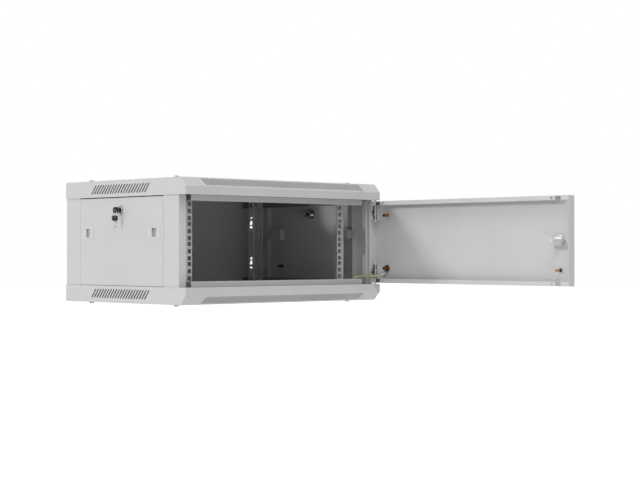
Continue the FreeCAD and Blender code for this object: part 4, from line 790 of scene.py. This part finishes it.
def coil(name, radius, wire, length, turns):
    clear()
    bpy.ops.mesh.primitive_circle_add(vertices=WIRE_SIDES, radius=wire, location=(radius, 0, wire),
                                      rotation=(math.pi / 2, 0, 0))
    ring = settle()
    ring.name = name
    return wind(ring, (length - 2 * wire) / turns, turns, COIL_STEPS)


for level, sign in (("top", 1), ("bottom", -1)):
    spring = coil(f"{level}_hinge_coil", radius=0.00395, wire=0.00045, length=0.0106, turns=6)
    foot = (*PIN, MID + sign * SPRING_FOOT)
    set_down(spring, foot, (0, 0, sign))
    # The springs take the dark stud steel as painted shade, so that the hinge window reads dark as in shadow.
    stand_in(spring, f"{level}_hinge_spring", "door", DARK_STEEL_AND_SHADE)
    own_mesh(spring)
print("springs", 2)

# %% [markdown]
# ## Keys
#
# The key has a black moulded head with rounded corners and an eye, and a flat steel blade with cuts. The
# head is a block, bevelled first along its edges through the thickness and then round both faces. The
# blade is a narrower block, and one long edge is pushed in at each cut.

# %% Key head
EYE = Vector((-0.3142, LOCK.y, LOCK.z))
EYE_RADIUS, EYE_INSET = 0.0023, 0.0038
HEAD = 0.0125
HEAD_END = HEAD - EYE_INSET
HEAD_WIDE, HEAD_THICK = 0.014, 0.005
CORNER_ROUND, FACE_ROUND = 0.0036, 0.0008


def key_head(name):
    """Upright block with its eye at the origin, the upper end towards the blade."""
    head = block(HEAD_WIDE, HEAD_THICK, HEAD_END - HEAD, HEAD_END)
    head.name = name
    bevel_edges(head, lambda a, b: abs(a.y - b.y) > HEAD_THICK * 0.8, CORNER_ROUND, 4)
    bevel_edges(head, lambda a, b: abs(abs(a.y) - HEAD_THICK / 2) < TOLERANCE and abs(a.y - b.y) < TOLERANCE,
                FACE_ROUND)
    clear()
    bpy.ops.mesh.primitive_cylinder_add(vertices=BORE_SIDES, radius=EYE_RADIUS, depth=4 * HEAD_THICK,
                                        rotation=(math.pi / 2, 0, 0))
    carve(head, settle())
    return smooth(head)


print("key head", HEAD / MM, "mm long")

# %% Key blade
BLADE, BLADE_WIDE, BLADE_THICK = 0.0167, 0.007, 0.002
BLADE_IN_HEAD, BLADE_ROUND = 0.0012, 0.0003
BLADE_START = HEAD_END - BLADE_IN_HEAD
NEAR_EDGE = 0.003
FIRST_ROW = 3
CUTS = (0.6, 0.2, 1.0, 0.4, 0.8, 0.2, 1.1, 0.5, 0.9, 0.3, 0.7, 1.4, 2.4)
ROWS = len(CUTS) + 2


def key_blade(name):
    """Flat bar with one long edge pushed in, row by row, to the depth of each cut in millimetres."""
    blade = block(BLADE_WIDE, BLADE_THICK, BLADE_START, BLADE_START + BLADE)
    blade.name = name
    edit(blade, "EDGE")
    select_edges(blade, lambda a, b: abs(a.z - b.z) > BLADE / 2)
    bpy.ops.mesh.subdivide(number_cuts=ROWS - 1)
    done(blade)
    edit(blade, "VERT")
    for row, cut in enumerate(CUTS, start=FIRST_ROW):
        level = BLADE_START + BLADE * row / ROWS
        select_points(blade, lambda at: at.x < -NEAR_EDGE and abs(at.z - level) < BLADE / ROWS / 3)
        bpy.ops.transform.translate(value=(cut * MM, 0, 0))
    done(blade)
    bevel_edges(blade, lambda a, b: min(a.x, b.x) > NEAR_EDGE and abs(a.z - b.z) > MM / 2,
                BLADE_ROUND, 2)
    return smooth(blade)


print("key blade", round(BLADE / MM, 1), "mm long with", len(CUTS), "cuts")

# %% [markdown]
# One key is in the left panel's lock and turns with its plug. The spare key hangs from it on the ring.

# %% Two keys
SPARE_DROP = 0.01568


def key(name, node, body, at, along, turn=0.0):
    """Head and blade, both modelled with the blade along +Z and the eye at the origin."""
    head, blade = key_head(f"{name}_head"), key_blade(f"{name}_blade")
    for piece, material in ((head, KEY_HEAD), (blade, GALVANISED)):
        stand_in(set_down(piece, at, along, turn), node, body, material)


key("lock_key", "panel_key", "left_lock", EYE, TO_RIGHT)
key("hanging_key", "spare_key", "spare", EYE - Vector((0, 0, SPARE_DROP)), (0, 0, -1), math.pi / 2)
print("keys", 2)

# %% [markdown]
# The split ring is a flat spring of two turns, wound like the hinge springs but laid with its axis across
# the cabinet.

# %% Split ring
RING_OFFSET = Vector((-0.0008, 0, -0.00788))
ring = coil("split_ring", radius=0.0070, wire=0.0004, length=0.0016, turns=2)
set_down(ring, EYE + RING_OFFSET, TO_RIGHT)
stand_in(ring, "key_ring", "ring")
print("ring", [round(size / MM, 1) for size in ring.dimensions])

# %% [markdown]
# ## Earth lead
#
# The lead bonds the door to the frame. It is one smooth NURBS curve guided by the same points as the solid
# one, and it ends in the two ring terminals. The curve's own line is read first, without a section, and let
# go again. The points are in millimetres, and their third number counts from the middle of the cabinet's
# height.

# %% Route of the lead
SPLINE_ORDER, SPLINE_STEPS = 3, 12
ROUTE = [
    (251.9, -399.0, -101.0),
    (252.6, -400.3, -92.8),
    (257.0, -403.8, -86.6),
    (264.0, -409.3, -83.3),
    (270.7, -418.0, -82.4),
    (274.8, -431.0, -81.2),
    (276.5, -444.0, -80.9),
    (279.0, -453.5, -81.6),
    (285.1, -458.7, -82.1),
    (290.35, -465.5, -78.1),
]
route = [Vector((x * MM, y * MM, z * MM + MID)) for x, y, z in ROUTE]
curve = bpy.data.curves.new("earth_lead_shown", "CURVE")
curve.dimensions = "3D"
spline = curve.splines.new("NURBS")
spline.points.add(len(route) - 1)
for point, at in zip(spline.points, route):
    point.co = (*at, 1)
spline.order_u = SPLINE_ORDER
spline.use_endpoint_u = True
spline.resolution_u = SPLINE_STEPS
lead = bpy.data.objects.new("earth_lead_shown", curve)
bpy.context.collection.objects.link(lead)
line = bpy.data.meshes.new_from_object(lead)
bpy.data.meshes.remove(line)

# %% [markdown]
# With a round section the curve becomes a mesh.

# %% Earth lead
LEAD_RADIUS, SECTION_STEPS, SHADE_ANGLE = 0.002, 6, 60
curve.bevel_depth = LEAD_RADIUS
curve.bevel_resolution = SECTION_STEPS
curve.use_fill_caps = True
pick(lead)
bpy.ops.object.convert(target="MESH")
lead = smooth(paint(bpy.context.object, SHEATH), SHADE_ANGLE)
lead.name = "earth_lead_shown"
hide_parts("earth_lead")
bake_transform(lead)
print("lead maps", [layer.name for layer in lead.data.uv_layers])

# %% [markdown]
# ## Floor and light
#
# The cabinet hangs on a wall, so the floor is well below it. It is matt, it keeps a shadow, and it shows
# nearly white.

# %% Floor
FLOOR_LEVEL, FLOOR_SIZE = -0.9, 60
FLOOR_TONE, FLOOR_ROUGH, FLOOR_LIFT = 0.87, 0.9, 0.45


def seen_directly(nodes, links):
    """1 for the rays that show a background: the camera's, and those mirrored or let through by a piece."""
    rays = nodes.new("ShaderNodeLightPath")
    total = rays.outputs["Is Camera Ray"]
    for kind in ("Is Glossy Ray", "Is Transmission Ray"):
        either = nodes.new("ShaderNodeMath")
        either.operation = "MAXIMUM"
        links.new(total, either.inputs[0])
        links.new(rays.outputs[kind], either.inputs[1])
        total = either.outputs["Value"]
    return total


def floor_material(name):
    """Matt, and lifted towards white where it is seen, so that it still keeps a shadow."""
    material = bpy.data.materials.new(name)
    material.use_nodes = True
    nodes, links = material.node_tree.nodes, material.node_tree.links
    matt = nodes["Principled BSDF"]
    matt.inputs["Base Color"].default_value = (*grey(FLOOR_TONE), 1)
    matt.inputs["Roughness"].default_value = FLOOR_ROUGH
    matt.inputs["Emission Color"].default_value = (1, 1, 1, 1)
    raised = nodes.new("ShaderNodeMath")
    raised.operation = "MULTIPLY"
    raised.inputs[1].default_value = FLOOR_LIFT
    links.new(seen_directly(nodes, links), raised.inputs[0])
    links.new(raised.outputs["Value"], matt.inputs["Emission Strength"])
    return material


clear()
bpy.ops.mesh.primitive_plane_add(size=FLOOR_SIZE, location=(0, 0, FLOOR_LEVEL))
floor = bpy.context.object
floor.name = "floor"
paint(floor, floor_material("pale floor"))
print("floor at", floor.location.z)

# %% [markdown]
# The sky is brighter overhead than at the horizon, so little light reaches the inside. Where it is seen
# it is plain white.

# %% Sky
SKY_LOW, SKY_HIGH = 0.38, 0.81
RISE_FROM, RISE_TO = -0.1, 0.9
world = bpy.data.worlds.new("studio")
bpy.context.scene.world = world
world.use_nodes = True
nodes, links = world.node_tree.nodes, world.node_tree.links
sky = nodes["Background"]
sky.inputs["Color"].default_value = (1, 1, 1, 1)
coords = nodes.new("ShaderNodeTexCoord")
split = nodes.new("ShaderNodeSeparateXYZ")
links.new(coords.outputs["Generated"], split.inputs["Vector"])
rise = nodes.new("ShaderNodeMapRange")
rise.inputs["From Min"].default_value, rise.inputs["From Max"].default_value = RISE_FROM, RISE_TO
rise.inputs["To Min"].default_value, rise.inputs["To Max"].default_value = SKY_LOW, SKY_HIGH
links.new(split.outputs["Z"], rise.inputs["Value"])
level = nodes.new("ShaderNodeMix")
level.inputs["B"].default_value = 1.0
links.new(seen_directly(nodes, links), level.inputs["Factor"])
links.new(rise.outputs["Result"], level.inputs["A"])
links.new(level.outputs["Result"], sky.inputs["Strength"])
print("sky", SKY_LOW, "to", SKY_HIGH)

# %% [markdown]
# A soft lamp high at the left, farther back than the cabinet, throws the slanting shadow inside the door,
# and a wide lamp high in front lights the bands and the sloping edges. A small beam stands for the light
# that falls through the opening on the right side panel. It starts inside the cabinet, so that a shut
# door keeps it in.

# %% Lamps
SOFT_LAMPS = {
    "key": ((-7.71, 2.67, 3.25), (0.1, -0.4, 0.0), 1.35, 255),
    "front": ((-1.1, -2.3, 3.4), (0, -0.4, 0.0), 1.8, 56),
}
BEAM_FROM, BEAM_TO = (-0.2, -0.40, 0.02), (0.297, -0.298, 0.084)
BEAM_POWER, BEAM_ANGLE, BEAM_SOURCE = 2.75, math.radians(15.6), 0.004


def lamp(name, kind, at, target, power):
    """A lamp of one kind, aimed from its place at a target."""
    data = bpy.data.lights.new(name, kind)
    data.energy = power
    piece = bpy.data.objects.new(name, data)
    bpy.context.collection.objects.link(piece)
    piece.location = at
    piece.rotation_euler = (Vector(target) - Vector(at)).to_track_quat("-Z", "Y").to_euler()
    return data


for name, (at, target, size, power) in SOFT_LAMPS.items():
    soft = lamp(name, "AREA", at, target, power)
    soft.shape = "DISK"
    soft.size = size
beam = lamp("beam", "SPOT", BEAM_FROM, BEAM_TO, BEAM_POWER)
beam.spot_size = BEAM_ANGLE
beam.spot_blend = 1.0
beam.shadow_soft_size = BEAM_SOURCE
print("lamps", len(bpy.data.lights))

# %% [markdown]
# ## Camera
#
# The camera stands where a fit to the photo's corners puts it: almost level with the cabinet, almost four
# metres off, to the left of its front.

# %% Camera
SENSOR_WIDTH, FOCAL_LENGTH, FARTHEST = 36, 88.83, 100
CAMERA_AT = (-2.43681, -3.11119, -0.01737)
CAMERA_TILT, CAMERA_HEADING = 90.44, -43.61
lens = bpy.data.cameras.new("camera")
lens.sensor_width = SENSOR_WIDTH
lens.lens = FOCAL_LENGTH
lens.clip_end = FARTHEST
camera = bpy.data.objects.new("camera", lens)
bpy.context.collection.objects.link(camera)
camera.location = CAMERA_AT
camera.rotation_euler = (math.radians(CAMERA_TILT), 0, math.radians(CAMERA_HEADING))
bpy.context.scene.camera = camera
bpy.context.scene.view_settings.view_transform = "Standard"
print("camera", [round(value, 3) for value in camera.location])
